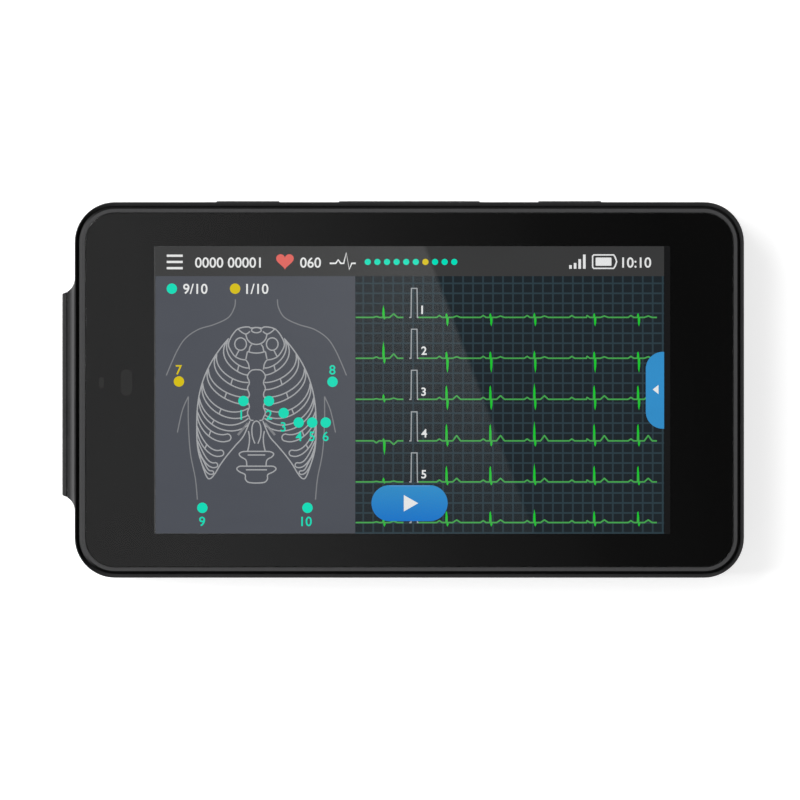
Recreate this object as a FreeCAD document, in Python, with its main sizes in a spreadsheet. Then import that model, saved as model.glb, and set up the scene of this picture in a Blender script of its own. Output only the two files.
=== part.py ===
import FreeCAD, Part

import math
import os
import re

import Sketcher
from FreeCAD import Vector

# A hand-held heart monitor that lies on its back: +X to the right of the screen, +Y to its
# top, +Z out of the glass. The origin is the middle of the flat back. All sizes are in mm.

SIZES = [
    # the whole case
    ("body_length", 145.4, "case along X, without the socket boss"),
    ("body_width", 81.6, "case along Y, without the keys"),
    ("body_thickness", 18.0, "back face to glass face"),
    ("corner_radius", 8.7, "corners of the case seen from the front"),
    # rear housing
    ("wall", 1.8, "side wall of the rear housing"),
    ("floor_thickness", 1.8, "back wall of the rear housing"),
    ("back_edge_radius", 2.6, "rounding round the back"),
    ("rim_width", 0.85, "rim of the rear housing round the bezel"),
    ("rim_drop", 0.9, "rim below the glass face"),
    ("rim_edge_radius", 0.15, "outer rounding of the rim"),
    ("rim_slope_width", 0.62, "inward slope of the rim, seen from the front"),
    ("rim_slope_height", 0.75, "inward slope of the rim, along Z"),
    ("recess_length", 62.0, "shallow recess in the back, along X"),
    ("recess_width", 22.0, "shallow recess in the back, along Y"),
    ("recess_depth", 0.3, "shallow recess in the back"),
    ("recess_offset", -21.0, "middle of that recess along Y"),
    ("recess_radius", 2.0, "corners of that recess"),
    ("small_radius", 0.1, "corners that are left almost sharp"),
    # front bezel and glass
    ("seam_gap", 0.12, "groove between rim and bezel"),
    ("slope_width", 0.5, "slope round the bezel, seen from the front"),
    ("slope_height", 1.1, "slope round the bezel, along Z"),
    ("flat_width", 0.77, "flat ring between slope and glass"),
    ("flat_drop", 0.05, "flat ring below the glass face"),
    ("glass_gap", 0.06, "clearance round the cover glass"),
    ("glass_thickness", 1.1, "cover glass"),
    ("glass_edge_radius", 0.15, "ground edge of the cover glass"),
    ("print_thickness", 0.1, "border print under the glass"),
    ("print_margin", 0.05, "glass left clear outside the print"),
    ("tape_thickness", 0.2, "adhesive frame under the print"),
    ("tape_margin", 0.6, "glass left free outside the adhesive"),
    ("tape_inset", 0.4, "adhesive back from the ledge opening"),
    ("ledge_thickness", 1.6, "ledge of the bezel under the glass"),
    ("ledge_radius", 2.0, "corners of the ledge opening"),
    # screen
    ("screen_length", 110.7, "lit area along X"),
    ("screen_width", 62.3, "lit area along Y"),
    ("print_window_gap", 0.1, "print window beyond the lit area"),
    ("print_window_side", 1.3, "print window beyond the lit area's right end"),
    ("print_window_radius", 0.3, "corners of the print window"),
    ("panel_length", 117.0, "display panel along X"),
    ("panel_width", 67.6, "display panel along Y"),
    ("panel_thickness", 1.4, "display panel"),
    ("panel_radius", 0.3, "corners of the display panel"),
    ("panel_gap", 1.2, "ledge opening beyond the panel's ends"),
    ("panel_side_gap", 2.3, "ledge opening beyond the panel's sides"),
    ("touch_margin", 0.7, "touch sensor beyond the panel"),
    ("touch_thickness", 0.5, "touch sensor"),
    ("touch_radius", 1.0, "corners of the touch sensor"),
    ("backlight_thickness", 2.0, "backlight"),
    ("backlight_radius", 0.8, "corners of the backlight"),
    ("midframe_thickness", 0.8, "metal frame behind the backlight"),
    ("midframe_radius", 1.0, "corners of the metal frame"),
    ("midframe_overhang", 5.1, "metal frame beyond the panel's ends"),
    ("midframe_side_overhang", 0.6, "metal frame beyond the panel's sides"),
    ("post_offset", 3.1, "small posts beyond the panel's ends"),
    ("post_spacing", 54.0, "small posts apart along Y"),
    ("post_radius", 1.8, "small posts"),
    ("small_screw_radius", 0.8, "screws of the metal frame"),
    ("small_head_radius", 1.4, "their heads"),
    ("small_head_height", 0.9, "their heads"),
    ("small_hole_gap", 0.1, "round the screws in plates and board"),
    # sensors behind the left border
    ("sensor_inset", 5.8, "small window from the case's left side"),
    ("sensor_offset", 1.6, "windows above the middle"),
    ("small_window_width", 1.1, "small window along X"),
    ("small_window_height", 2.4, "small window along Y"),
    ("large_window_inset", 11.25, "large window from the case's left side"),
    ("large_window_width", 2.5, "large window along X"),
    ("large_window_height", 5.7, "large window along Y"),
    ("sensor_margin", 0.6, "sensor beyond its window"),
    ("sensor_height", 1.6, "sensor bodies"),
    ("sensor_board_thickness", 0.3, "their thin board"),
    ("notch_margin", 1.5, "ledge notch round the sensors"),
    # screws that close the case
    ("corner_post_gap", 0.4059, "corner posts from the inside of the rounded corner"),
    ("corner_boss_radius", 3.7, "corner bosses of the housing"),
    ("corner_boss_height", 11.0, "their tops above the back"),
    ("corner_post_radius", 3.1, "corner posts of the bezel"),
    ("screw_radius", 1.0, "M2 thread, outside"),
    ("screw_hole_radius", 1.2, "clearance holes"),
    ("head_radius", 1.9, "screw heads"),
    ("head_height", 1.3, "screw heads"),
    ("head_gap", 0.3, "round the screw heads"),
    ("head_seat", 2.4, "under the heads, above the back"),
    ("insert_radius", 1.6, "brass thread inserts"),
    ("insert_length", 3.5, "brass thread inserts"),
    ("thread_engagement", 3.0, "screw in its insert"),
    ("screw_tip_gap", 0.3, "blind holes beyond their screws"),
    ("key_socket", 1.5, "hexagon sockets of the screws across flats"),
    # circuit board
    ("board_thickness", 1.6, "circuit board"),
    ("board_side_gap", 3.4, "board from the inside of the side walls"),
    ("board_end_gap", 0.5, "board from the inside of the right wall"),
    ("board_start", 8.7, "board from the case's left side"),
    ("board_corner_gap", 0.5, "board round the corner bosses"),
    ("board_radius", 1.0, "corners of the board"),
    ("board_arc_gap", 0.3, "board inside the case's rounded corners"),
    ("board_screw_x", 55.0, "board screws from the middle"),
    ("board_screw_y", 31.0, "board screws from the middle"),
    ("board_boss_radius", 2.6, "bosses under the board"),
    ("board_screw_length", 4.0, "board screws below the board"),
    ("can_wall", 0.2, "shield cans"),
    ("can_height", 2.1, "shield cans"),
    ("chip_height", 1.1, "chips"),
    ("sim_holder_height", 1.5, "SIM holder"),
    ("sim_holder_wall", 0.8, "its side walls"),
    ("sim_holder_skin", 0.3, "its floor and its roof"),
    ("sim_card_thickness", 0.76, "SIM card"),
    ("sim_card_gap", 0.05, "round the SIM card"),
    ("clock_cell_x", -8.0, "cell of the clock"),
    ("clock_cell_y", -22.0, "cell of the clock"),
    ("clock_cell_radius", 3.4, "cell of the clock"),
    ("clock_cell_height", 1.4, "cell of the clock"),
    ("antenna_left", -30.0, "antenna film on the lower wall"),
    ("antenna_right", 10.0, "antenna film"),
    ("antenna_low", 3.5, "antenna film above the back"),
    ("antenna_high", 12.0, "antenna film above the back"),
    ("antenna_thickness", 0.2, "antenna film"),
    ("antenna_spring_x", 3.0, "spring from board to antenna"),
    ("antenna_spring_width", 2.0, "that spring"),
    ("antenna_spring_thickness", 0.4, "that spring"),
    ("antenna_spring_foot", 1.5, "that spring on the board"),
    # lead socket and its boss, sized by the 15-way D connector and its 4-40 screws
    ("boss_reach", 2.75, "boss beyond the case's left side"),
    ("boss_flat", 43.9, "flat face of the boss along Y"),
    ("boss_height", 13.4, "boss along Z"),
    ("boss_offset", -1.0, "middle of the boss along Y"),
    ("flare_radius", 3.4, "concave ends of the boss"),
    ("surround_thickness", 0.9, "outer plate of the boss"),
    ("surround_groove", 0.2, "groove behind that plate"),
    ("surround_edge_radius", 0.35, "outer edge of that plate"),
    ("well_length", 40.0, "opening of the boss along Y"),
    ("well_height", 10.0, "opening of the boss along Z"),
    ("well_radius", 1.0, "corners of that opening"),
    ("collar_wall", 0.7, "collar inside the boss"),
    ("collar_gap", 0.1, "collar to the housing"),
    ("collar_depth", 2.9, "collar behind the plate"),
    ("seat_thickness", 1.5, "pad behind the socket wall"),
    ("flange_length", 39.14, "connector flange"),
    ("flange_height", 12.55, "connector flange"),
    ("flange_thickness", 0.8, "connector flange"),
    ("flange_radius", 1.2, "corners of the connector flange"),
    ("screw_pitch", 33.32, "jack nuts apart"),
    ("jack_radius", 1.42, "4-40 thread, outside"),
    ("jack_flats", 4.76, "jack nuts across flats"),
    ("jack_length", 4.2, "jack nuts in front of the wall"),
    ("jack_stud", 4.4, "their studs behind the wall"),
    ("jack_hole_gap", 0.13, "round the studs"),
    ("jack_thread_stop", 0.4, "solid end of the nuts' threads"),
    ("nut_thickness", 1.6, "nuts on those studs"),
    ("nut_gap", 0.02, "nuts' threads round those studs"),
    ("plug_opening_length", 27.0, "opening for the plug's shell, along Y"),
    ("plug_opening_height", 9.6, "opening for the plug's shell, along Z"),
    ("plug_opening_radius", 3.0, "corners of that opening"),
    ("shell_length", 24.8, "connector shell at its wide side"),
    ("shell_height", 7.9, "connector shell"),
    ("shell_slope", 1.4, "each end of the shell narrows by this"),
    ("shell_reach", 5.7, "connector shell in front of its flange"),
    ("shell_wall", 0.4, "connector shell"),
    ("shell_corner_radius", 2.2, "connector shell"),
    ("insulator_depth", 4.0, "insulator behind the flange"),
    ("insulator_length", 25.8, "insulator behind the flange, along Y"),
    ("insulator_height", 10.3, "insulator behind the flange, along Z"),
    ("insulator_radius", 0.6, "its corners"),
    ("insulator_recess", 0.25, "insulator behind the shell's mouth"),
    ("pin_pitch", 2.77, "contacts in a row"),
    ("pin_row_gap", 2.84, "rows of contacts"),
    ("pin_radius", 0.8, "contacts"),
    ("pin_bore_radius", 0.5, "bores of the contacts"),
    ("pin_bore_depth", 5.0, "bores of the contacts"),
    ("pin_recess", 0.4, "contacts behind the insulator's face"),
    ("tail_length", 3.6, "tails of the contacts"),
    # keys on the top side
    ("key_proud", 0.28, "keys above the wall"),
    ("key_height", 4.0, "keys along Z"),
    ("key_level", 9.0, "middle of the keys above the back"),
    ("key_gap", 0.12, "round the keys"),
    ("key_corner_radius", 0.9, "corners of the keys"),
    ("key_edge_radius", 0.22, "edges of the keys"),
    ("short_key_length", 13.8, "power and function keys"),
    ("long_key_length", 30.7, "volume rocker"),
    ("power_key_x", -35.1, "power key from the middle"),
    ("function_key_x", 34.9, "function key from the middle"),
    ("flange_lip", 1.0, "flange of a key beyond its slot"),
    ("key_flange", 0.7, "flange of a key"),
    ("key_stop_gap", 0.05, "flange to the inside of the wall"),
    ("rocker_stop_gap", 0.36, "the rocker's flange to that wall"),
    ("dome_x", 11.0, "volume domes from the middle"),
    ("dome_radius", 2.0, "metal domes"),
    ("dome_height", 0.35, "metal domes"),
    ("dome_gap", 0.05, "nubs of the keys to the domes"),
    ("nub_radius", 0.8, "nubs of the keys"),
    ("flex_thickness", 0.2, "printed flex under the domes"),
    ("bracket_thickness", 0.5, "steel bracket behind the flex"),
    ("bracket_depth", 1.9, "front of the bracket from the inside of the wall"),
    ("bracket_half_length", 45.5, "bracket from the middle"),
    ("bracket_height", 7.6, "bracket along Z"),
    ("pivot_width", 1.0, "ridge that the rocker tips on"),
    ("pivot_gap", 0.03, "that ridge to the rocker"),
    ("flex_margin", 0.6, "flex inside the bracket's edges"),
    ("rib_x", 22.0, "ribs that hold the bracket"),
    ("rib_width", 2.0, "those ribs"),
    ("rib_top", 12.0, "those ribs above the back"),
    ("rib_depth", 0.85, "rib behind the bracket"),
    # battery and speaker
    ("battery_length", 64.0, "battery along X"),
    ("battery_width", 56.0, "battery along Y"),
    ("battery_gap", 0.6, "battery below the circuit board"),
    ("battery_x", 18.0, "middle of the battery"),
    ("battery_radius", 2.0, "corners of the battery"),
    ("battery_tape_thickness", 0.2, "tape under the battery"),
    ("battery_tape_inset", 2.0, "tape inside the battery's outline"),
    ("speaker_x", -38.0, "middle of the speaker"),
    ("speaker_radius", 10.0, "speaker"),
    ("speaker_height", 4.0, "speaker"),
    ("speaker_spring_y", 6.0, "contact springs from the speaker's middle"),
    ("speaker_spring_radius", 0.6, "contact springs"),
    ("mesh_thickness", 0.2, "dust mesh"),
    ("mesh_inset", 1.0, "dust mesh inside the speaker's edge"),
    ("grille_slot_width", 1.2, "slots in front of the speaker"),
    ("grille_slot_length", 11.0, "slots in front of the speaker"),
    ("grille_pitch", 2.6, "slots in front of the speaker"),
    # USB socket on the right side
    ("usb_y", -12.0, "middle of the USB socket"),
    ("usb_width", 8.94, "its shell along Y"),
    ("usb_height", 3.26, "its shell along Z"),
    ("usb_depth", 7.3, "its shell along X"),
    ("usb_wall", 0.3, "its shell"),
    ("usb_recess", 0.5, "its mouth behind the case's right side"),
    ("usb_slot_gap", 0.18, "round its shell"),
    ("usb_block", 1.5, "solid back of its insulator"),
    ("usb_blade_width", 6.7, "contact blade along Y"),
    ("usb_blade_thickness", 0.7, "contact blade along Z"),
    ("usb_blade_recess", 0.85, "contact blade behind the shell's mouth"),
    # flexes
    ("strip_thickness", 0.15, "flat flexes"),
    ("strip_bend", 0.7, "bends of the flat flexes"),
    ("strip_clearance", 0.75, "display flex beyond the panel's end"),
    ("strip_side_gap", 1.0, "metal frame's notch beyond that flex's sides"),
    ("display_flex_width", 14.0, "display flex"),
    ("touch_flex_width", 8.0, "touch flex"),
    ("touch_flex_x", -20.0, "middle of the touch flex"),
    ("battery_flex_width", 10.0, "battery flex"),
    ("battery_flex_length", 9.0, "battery flex"),
    ("connector_height", 1.2, "flex connectors"),
    ("connector_length", 4.0, "flex connectors"),
    ("connector_margin", 1.0, "battery connector beyond its flex"),
    ("flex_landing", 8.0, "display flex over the board"),
    ("touch_landing", 5.0, "touch flex over the board"),
    ("touch_flex_gap", 0.75, "touch flex beyond the touch sensor"),
]
# What stands on the circuit board: label, middle along X and Y, length, width, what it is.
ON_BOARD = [
    ("frontend_shield", -41.0, 0.0, 34.0, 40.0, "can over the heart-signal inputs"),
    ("processor_shield", -2.0, 16.5, 32.0, 29.0, "can over processor and memory"),
    ("modem_shield", 31.0, 20.0, 26.0, 22.0, "can over the mobile modem"),
    ("processor_chip", -10.0, 20.0, 12.0, 12.0, "processor"),
    ("memory_chip", 5.0, 20.0, 10.0, 12.0, "memory"),
    ("modem_chip", 30.0, 20.0, 15.0, 13.0, "mobile modem"),
    ("lower_converter", -40.0, -9.0, 9.0, 9.0, "heart-signal converter"),
    ("upper_converter", -40.0, 9.0, 9.0, 9.0, "heart-signal converter"),
    ("sim_holder", 13.0, -22.5, 14.0, 15.0, "holder of the SIM card"),
]
for label, x, y, length, width, meaning in ON_BOARD:
    SIZES += [
        (f"{label}_x", x, f"{meaning}, middle along X"),
        (f"{label}_y", y, f"{meaning}, middle along Y"),
        (f"{label}_length", length, f"{meaning}, along X"),
        (f"{label}_width", width, f"{meaning}, along Y"),
    ]
GRILLE_SLOTS = 5
LONG_ROW, SHORT_ROW = 8, 7
NAMES = {row[0] for row in SIZES}

doc = FreeCAD.newDocument("HeartMonitor")
sheet = doc.addObject("Spreadsheet::Sheet", "sizes")
for row, (name, value, meaning) in enumerate(SIZES, start=1):
    sheet.set(f"A{row}", name)
    sheet.set(f"B{row}", str(value))
    sheet.set(f"C{row}", meaning)
    sheet.setAlias(f"B{row}", name)
doc.recompute()

# Places that several pieces share, as expressions in the sheet's names.
HALF_X = "(body_length / 2)"
HALF_Y = "(body_width / 2)"
INNER_X = "(body_length / 2 - wall)"
INNER_Y = "(body_width / 2 - wall)"
BEZEL_INSET = "(rim_width + seam_gap)"
POCKET_INSET = "(rim_width + seam_gap + slope_width + flat_width)"
GLASS_INSET = "(rim_width + seam_gap + slope_width + flat_width + glass_gap)"
RIM_TOP = "(body_thickness - rim_drop)"
FLAT_TOP = "(body_thickness - flat_drop)"
GLASS_UNDER = "(body_thickness - glass_thickness)"
PRINT_UNDER = f"({GLASS_UNDER} - print_thickness)"
LEDGE_TOP = f"({PRINT_UNDER} - tape_thickness)"
BEZEL_SEAT = f"({LEDGE_TOP} - ledge_thickness)"
TOUCH_UNDER = f"({PRINT_UNDER} - touch_thickness)"
PANEL_UNDER = f"({TOUCH_UNDER} - panel_thickness)"
BACKLIGHT_UNDER = f"({PANEL_UNDER} - backlight_thickness)"
MIDFRAME_UNDER = f"({BACKLIGHT_UNDER} - midframe_thickness)"
# the connector's flange fills the height between the back wall and the bezel's ledge
SOCKET_Z = f"((floor_thickness + {BEZEL_SEAT}) / 2)"
BOARD_UNDER = f"({SOCKET_Z} - board_thickness / 2)"
BOARD_TOP = f"({SOCKET_Z} + board_thickness / 2)"
# the corner posts stand on the corner's diagonal, just inside its wall
POST_TO_CENTRE = "(corner_radius - wall - corner_post_gap - corner_post_radius)"
CORNER_INSET = f"(corner_radius - {POST_TO_CENTRE} / sqrt(2))"
CORNER_X = f"({HALF_X} - {CORNER_INSET})"
CORNER_Y = f"({HALF_Y} - {CORNER_INSET})"
POST_X = "(panel_length / 2 + post_offset)"
POST_Y = "(post_spacing / 2)"
SEAT_FACE = f"(-{INNER_X} + seat_thickness)"
SENSOR_X = f"(-{HALF_X} + sensor_inset)"
LARGE_SENSOR_X = f"(-{HALF_X} + large_window_inset)"
BRACKET_FACE = f"({INNER_Y} - bracket_depth)"
FLEX_FACE = f"({BRACKET_FACE} + flex_thickness)"
DOME_TOP = f"({FLEX_FACE} + dome_height)"
USB_Z = f"({BOARD_TOP} + usb_height / 2)"
CORNERS = [(x, y) for x in ("-", "") for y in ("-", "")]
# how far a cut starts or ends beyond the face that it goes through
PAST = "1"

sub_parts = []


def bound(expression):
    """The expression with every size's name pointing into the sheet."""
    def point(word):
        return "sizes." + word.group() if word.group() in NAMES else word.group()
    return re.sub(r"[a-z]\w*", point, expression)


def size(expression):
    """The expression's value in mm."""
    return float(sheet.evalExpression(expression))


def keep(thing, label):
    """Give the finished piece its label and put it among the sub-parts."""
    thing.Label = label
    sub_parts.append(thing)
    return thing


# Sketches and features of a PartDesign body

def new_body(label):
    return doc.addObject("PartDesign::Body", label)


def new_sketch(body, plane, level="0"):
    """A sketch on an origin plane of the body, moved to the level along the global axis."""
    sketch = body.newObject("Sketcher::SketchObject", body.Name + "_sketch")
    origin_plane = next(part for part in body.Origin.OriginFeatures if part.Role == plane)
    sketch.AttachmentSupport = [(origin_plane, "")]
    sketch.MapMode = "FlatFace"
    sign = "-" if plane == "XZ_Plane" else ""
    sketch.setExpression("AttachmentOffset.Base.z", bound(f"{sign}({level})"))
    return sketch


def drive(sketch, constraint, expression):
    """Add a constraint whose value is bound to the sheet."""
    index = sketch.addConstraint(constraint)
    constraint_name = f"size{index}"
    sketch.renameConstraint(index, constraint_name)
    sketch.setExpression(f"Constraints.{constraint_name}", bound(expression))


def add_circle(sketch, x, y, radius):
    centre = Vector(size(x), size(y), 0)
    index = sketch.addGeometry(Part.Circle(centre, Vector(0, 0, 1), size(radius)), False)
    drive(sketch, Sketcher.Constraint("DistanceX", -1, 1, index, 3, centre.x), x)
    drive(sketch, Sketcher.Constraint("DistanceY", -1, 1, index, 3, centre.y), y)
    drive(sketch, Sketcher.Constraint("Radius", index, size(radius)), radius)


def add_polygon(sketch, corners):
    """A closed outline of straight lines through corners given as pairs of expressions."""
    points = [Vector(size(x), size(y), 0) for x, y in corners]
    count = len(points)
    first = sketch.GeometryCount
    for number, point in enumerate(points):
        sketch.addGeometry(Part.LineSegment(point, points[(number + 1) % count]), False)
    for number, (x, y) in enumerate(corners):
        line = first + number
        following = first + (number + 1) % count
        sketch.addConstraint(Sketcher.Constraint("Coincident", line, 2, following, 1))
        drive(sketch, Sketcher.Constraint("DistanceX", -1, 1, line, 1, points[number].x), x)
        drive(sketch, Sketcher.Constraint("DistanceY", -1, 1, line, 1, points[number].y), y)


def add_rectangle(sketch, left, right, bottom, top, radius):
    """A rectangle with equal round corners, between four sides given as expressions."""
    low_x, high_x, low_y, high_y, r = (size(side) for side in (left, right, bottom, top, radius))
    first = sketch.GeometryCount
    lines = [
        ((low_x + r, low_y), (high_x - r, low_y)),
        ((high_x, low_y + r), (high_x, high_y - r)),
        ((high_x - r, high_y), (low_x + r, high_y)),
        ((low_x, high_y - r), (low_x, low_y + r)),
    ]
    centres = [
        (high_x - r, low_y + r),
        (high_x - r, high_y - r),
        (low_x + r, high_y - r),
        (low_x + r, low_y + r),
    ]
    for quarter, (line, centre) in enumerate(zip(lines, centres)):
        sketch.addGeometry(Part.LineSegment(Vector(*line[0], 0), Vector(*line[1], 0)), False)
        circle = Part.Circle(Vector(*centre, 0), Vector(0, 0, 1), r)
        start = (quarter - 1) * math.pi / 2
        sketch.addGeometry(Part.ArcOfCircle(circle, start, start + math.pi / 2), False)
    for number in range(8):
        following = first + (number + 1) % 8
        sketch.addConstraint(Sketcher.Constraint("Tangent", first + number, 2, following, 1))
    for number, direction in enumerate(("Horizontal", "Vertical", "Horizontal", "Vertical")):
        sketch.addConstraint(Sketcher.Constraint(direction, first + 2 * number))
    for arc in (3, 5, 7):
        sketch.addConstraint(Sketcher.Constraint("Equal", first + 1, first + arc))
    drive(sketch, Sketcher.Constraint("Radius", first + 1, r), radius)
    drive(sketch, Sketcher.Constraint("DistanceX", -1, 1, first + 6, 1, low_x), left)
    drive(sketch, Sketcher.Constraint("DistanceX", -1, 1, first + 2, 1, high_x), right)
    drive(sketch, Sketcher.Constraint("DistanceY", -1, 1, first, 1, low_y), bottom)
    drive(sketch, Sketcher.Constraint("DistanceY", -1, 1, first + 4, 1, high_y), top)


def add_centred(sketch, x, y, width, height, radius):
    """A rectangle with round corners about a middle point."""
    add_rectangle(sketch, f"{x} - ({width}) / 2", f"{x} + ({width}) / 2",
                  f"{y} - ({height}) / 2", f"{y} + ({height}) / 2", radius)


def add_case_outline(sketch, inset="0"):
    """The case's outline seen from the front, moved in by the inset."""
    add_centred(sketch, "0", "0", f"body_length - 2 * {inset}", f"body_width - 2 * {inset}",
                f"corner_radius - {inset}")


def pad(body, sketch, length, backwards=False):
    """Add the sketch's area to the body, along the plane's normal or against it."""
    feature = body.newObject("PartDesign::Pad", body.Name + "_pad")
    feature.Profile = sketch
    feature.setExpression("Length", bound(length))
    feature.Reversed = backwards
    return feature


def pocket(body, sketch, length, forwards=False):
    """Cut the sketch's area away, against the plane's normal or along it."""
    feature = body.newObject("PartDesign::Pocket", body.Name + "_pocket")
    feature.Profile = sketch
    feature.setExpression("Length", bound(length))
    feature.Reversed = forwards
    return feature


def round_edges(body, feature, radius, chosen):
    """Round the feature's edges that the test chooses."""
    doc.recompute()
    edges = [f"Edge{number}" for number, edge in enumerate(feature.Shape.Edges, start=1)
             if chosen(edge)]
    fillet = body.newObject("PartDesign::Fillet", body.Name + "_fillet")
    fillet.Base = (feature, edges)
    fillet.setExpression("Radius", bound(radius))
    return fillet


def slope_edges(body, feature, width, height, chosen, flipped=False):
    """Cut a slope along the feature's chosen top edges, so wide across and so high along Z."""
    doc.recompute()
    edges = [f"Edge{number}" for number, edge in enumerate(feature.Shape.Edges, start=1)
             if chosen(edge)]
    slope = body.newObject("PartDesign::Chamfer", body.Name + "_slope")
    slope.Base = (feature, edges)
    slope.ChamferType = "Two distances"
    slope.FlipDirection = flipped
    slope.setExpression("Size", bound(height))
    slope.setExpression("Size2", bound(width))
    return slope


def at_level(edge, axis, level):
    """Whether the whole edge lies in the plane at this level of the axis (0 X, 1 Y, 2 Z)."""
    low = (edge.BoundBox.XMin, edge.BoundBox.YMin, edge.BoundBox.ZMin)[axis]
    high = (edge.BoundBox.XMax, edge.BoundBox.YMax, edge.BoundBox.ZMax)[axis]
    return abs(low - level) < 1e-4 and abs(high - level) < 1e-4


def slab(label, low, high, x, y, width, height, radius):
    """A body that is one plate with round corners, between two levels along Z."""
    body = new_body(label)
    sketch = new_sketch(body, "XY_Plane", low)
    add_centred(sketch, x, y, width, height, radius)
    pad(body, sketch, f"{high} - {low}")
    return body


# Part primitives and booleans

def box(label, left, right, bottom, top, low, high):
    thing = doc.addObject("Part::Box", label)
    thing.setExpression("Length", bound(f"{right} - ({left})"))
    thing.setExpression("Width", bound(f"{top} - ({bottom})"))
    thing.setExpression("Height", bound(f"{high} - ({low})"))
    for axis, start in (("x", left), ("y", bottom), ("z", low)):
        thing.setExpression(f"Placement.Base.{axis}", bound(start))
    return thing


TURNS = {
    "X": FreeCAD.Rotation(Vector(0, 1, 0), 90),
    "Y": FreeCAD.Rotation(Vector(1, 0, 0), -90),
    "Z": FreeCAD.Rotation(),
}


def place_round(thing, direction, x, y, z):
    """Stand a round primitive on the point, along +X, +Y or +Z."""
    thing.Placement = FreeCAD.Placement(Vector(), TURNS[direction])
    for axis, start in (("x", x), ("y", y), ("z", z)):
        thing.setExpression(f"Placement.Base.{axis}", bound(start))
    return thing


def cylinder(label, direction, x, y, z, radius, height):
    thing = doc.addObject("Part::Cylinder", label)
    thing.setExpression("Radius", bound(radius))
    thing.setExpression("Height", bound(height))
    return place_round(thing, direction, x, y, z)


def hexagon(label, direction, x, y, z, across_flats, height):
    thing = doc.addObject("Part::Prism", label)
    thing.Polygon = 6
    thing.setExpression("Circumradius", bound(f"{across_flats} / sqrt(3)"))
    thing.setExpression("Height", bound(height))
    return place_round(thing, direction, x, y, z)


def cut(label, whole, removed):
    thing = doc.addObject("Part::Cut", label)
    thing.Base = whole
    thing.Tool = removed
    return thing


def fuse(label, pieces):
    thing = doc.addObject("Part::MultiFuse", label)
    thing.Shapes = pieces
    return thing


def group(label, pieces):
    """Separate solids that share one sub-part."""
    thing = doc.addObject("Part::Compound", label)
    thing.Links = pieces
    return thing


# The rear housing: a deep tub with the socket boss on its left side

def add_boss_outline(sketch, reach):
    """The boss seen from the front: a flat outer face whose ends sweep into the case's side."""
    side = f"(-{HALF_X})"
    outer = f"(-{HALF_X} - {reach})"
    turn = f"sqrt(flare_radius ^ 2 - (flare_radius - {reach}) ^ 2)"
    full = "sqrt(flare_radius ^ 2 - (flare_radius - boss_reach) ^ 2)"
    ends = {sign: f"(boss_offset {sign} (boss_flat / 2 + {full}))" for sign in "-+"}
    flats = {sign: f"(boss_offset {sign} (boss_flat / 2 + {full} - {turn}))" for sign in "-+"}
    inside = f"({side} + wall / 2)"
    lines = [
        ((inside, ends["+"]), (side, ends["+"])),
        ((outer, flats["+"]), (outer, flats["-"])),
        ((side, ends["-"]), (inside, ends["-"])),
        ((inside, ends["-"]), (inside, ends["+"])),
    ]
    for start, end in lines:
        corners = [Vector(size(x), size(y), 0) for x, y in (start, end)]
        sketch.addGeometry(Part.LineSegment(*corners), False)
    radius = size("flare_radius")
    sweep = math.acos((radius - size(reach)) / radius)
    for sign, start in (("+", -sweep), ("-", 0.0)):
        centre = Vector(size(side) - radius, size(ends[sign]), 0)
        arc = Part.ArcOfCircle(Part.Circle(centre, Vector(0, 0, 1), radius), start, start + sweep)
        index = sketch.addGeometry(arc, False)
        drive(sketch, Sketcher.Constraint("Radius", index, radius), "flare_radius")
        drive(sketch, Sketcher.Constraint("DistanceX", -1, 1, index, 3, centre.x),
              f"{side} - flare_radius")
        drive(sketch, Sketcher.Constraint("DistanceY", -1, 1, index, 3, centre.y), ends[sign])
    for first, first_end, second, second_end in (
            (0, 2, 4, 2), (4, 1, 1, 1), (1, 2, 5, 2), (5, 1, 2, 1), (2, 2, 3, 1), (3, 2, 0, 1)):
        sketch.addConstraint(Sketcher.Constraint(
            "Coincident", first, first_end, second, second_end))
    sketch.addConstraint(Sketcher.Constraint("Vertical", 1))
    sketch.addConstraint(Sketcher.Constraint("Vertical", 3))
    drive(sketch, Sketcher.Constraint("DistanceX", -1, 1, 1, 1, size(outer)), outer)
    drive(sketch, Sketcher.Constraint("DistanceX", -1, 1, 3, 1, size(inside)), inside)
    for line, end, sign in ((0, 1, "+"), (0, 2, "+"), (2, 1, "-"), (2, 2, "-")):
        drive(sketch, Sketcher.Constraint("DistanceY", -1, 1, line, end, size(ends[sign])),
              ends[sign])


BOSS_LOW = f"({SOCKET_Z} - boss_height / 2)"
BOSS_TOP = f"({SOCKET_Z} + boss_height / 2)"


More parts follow.
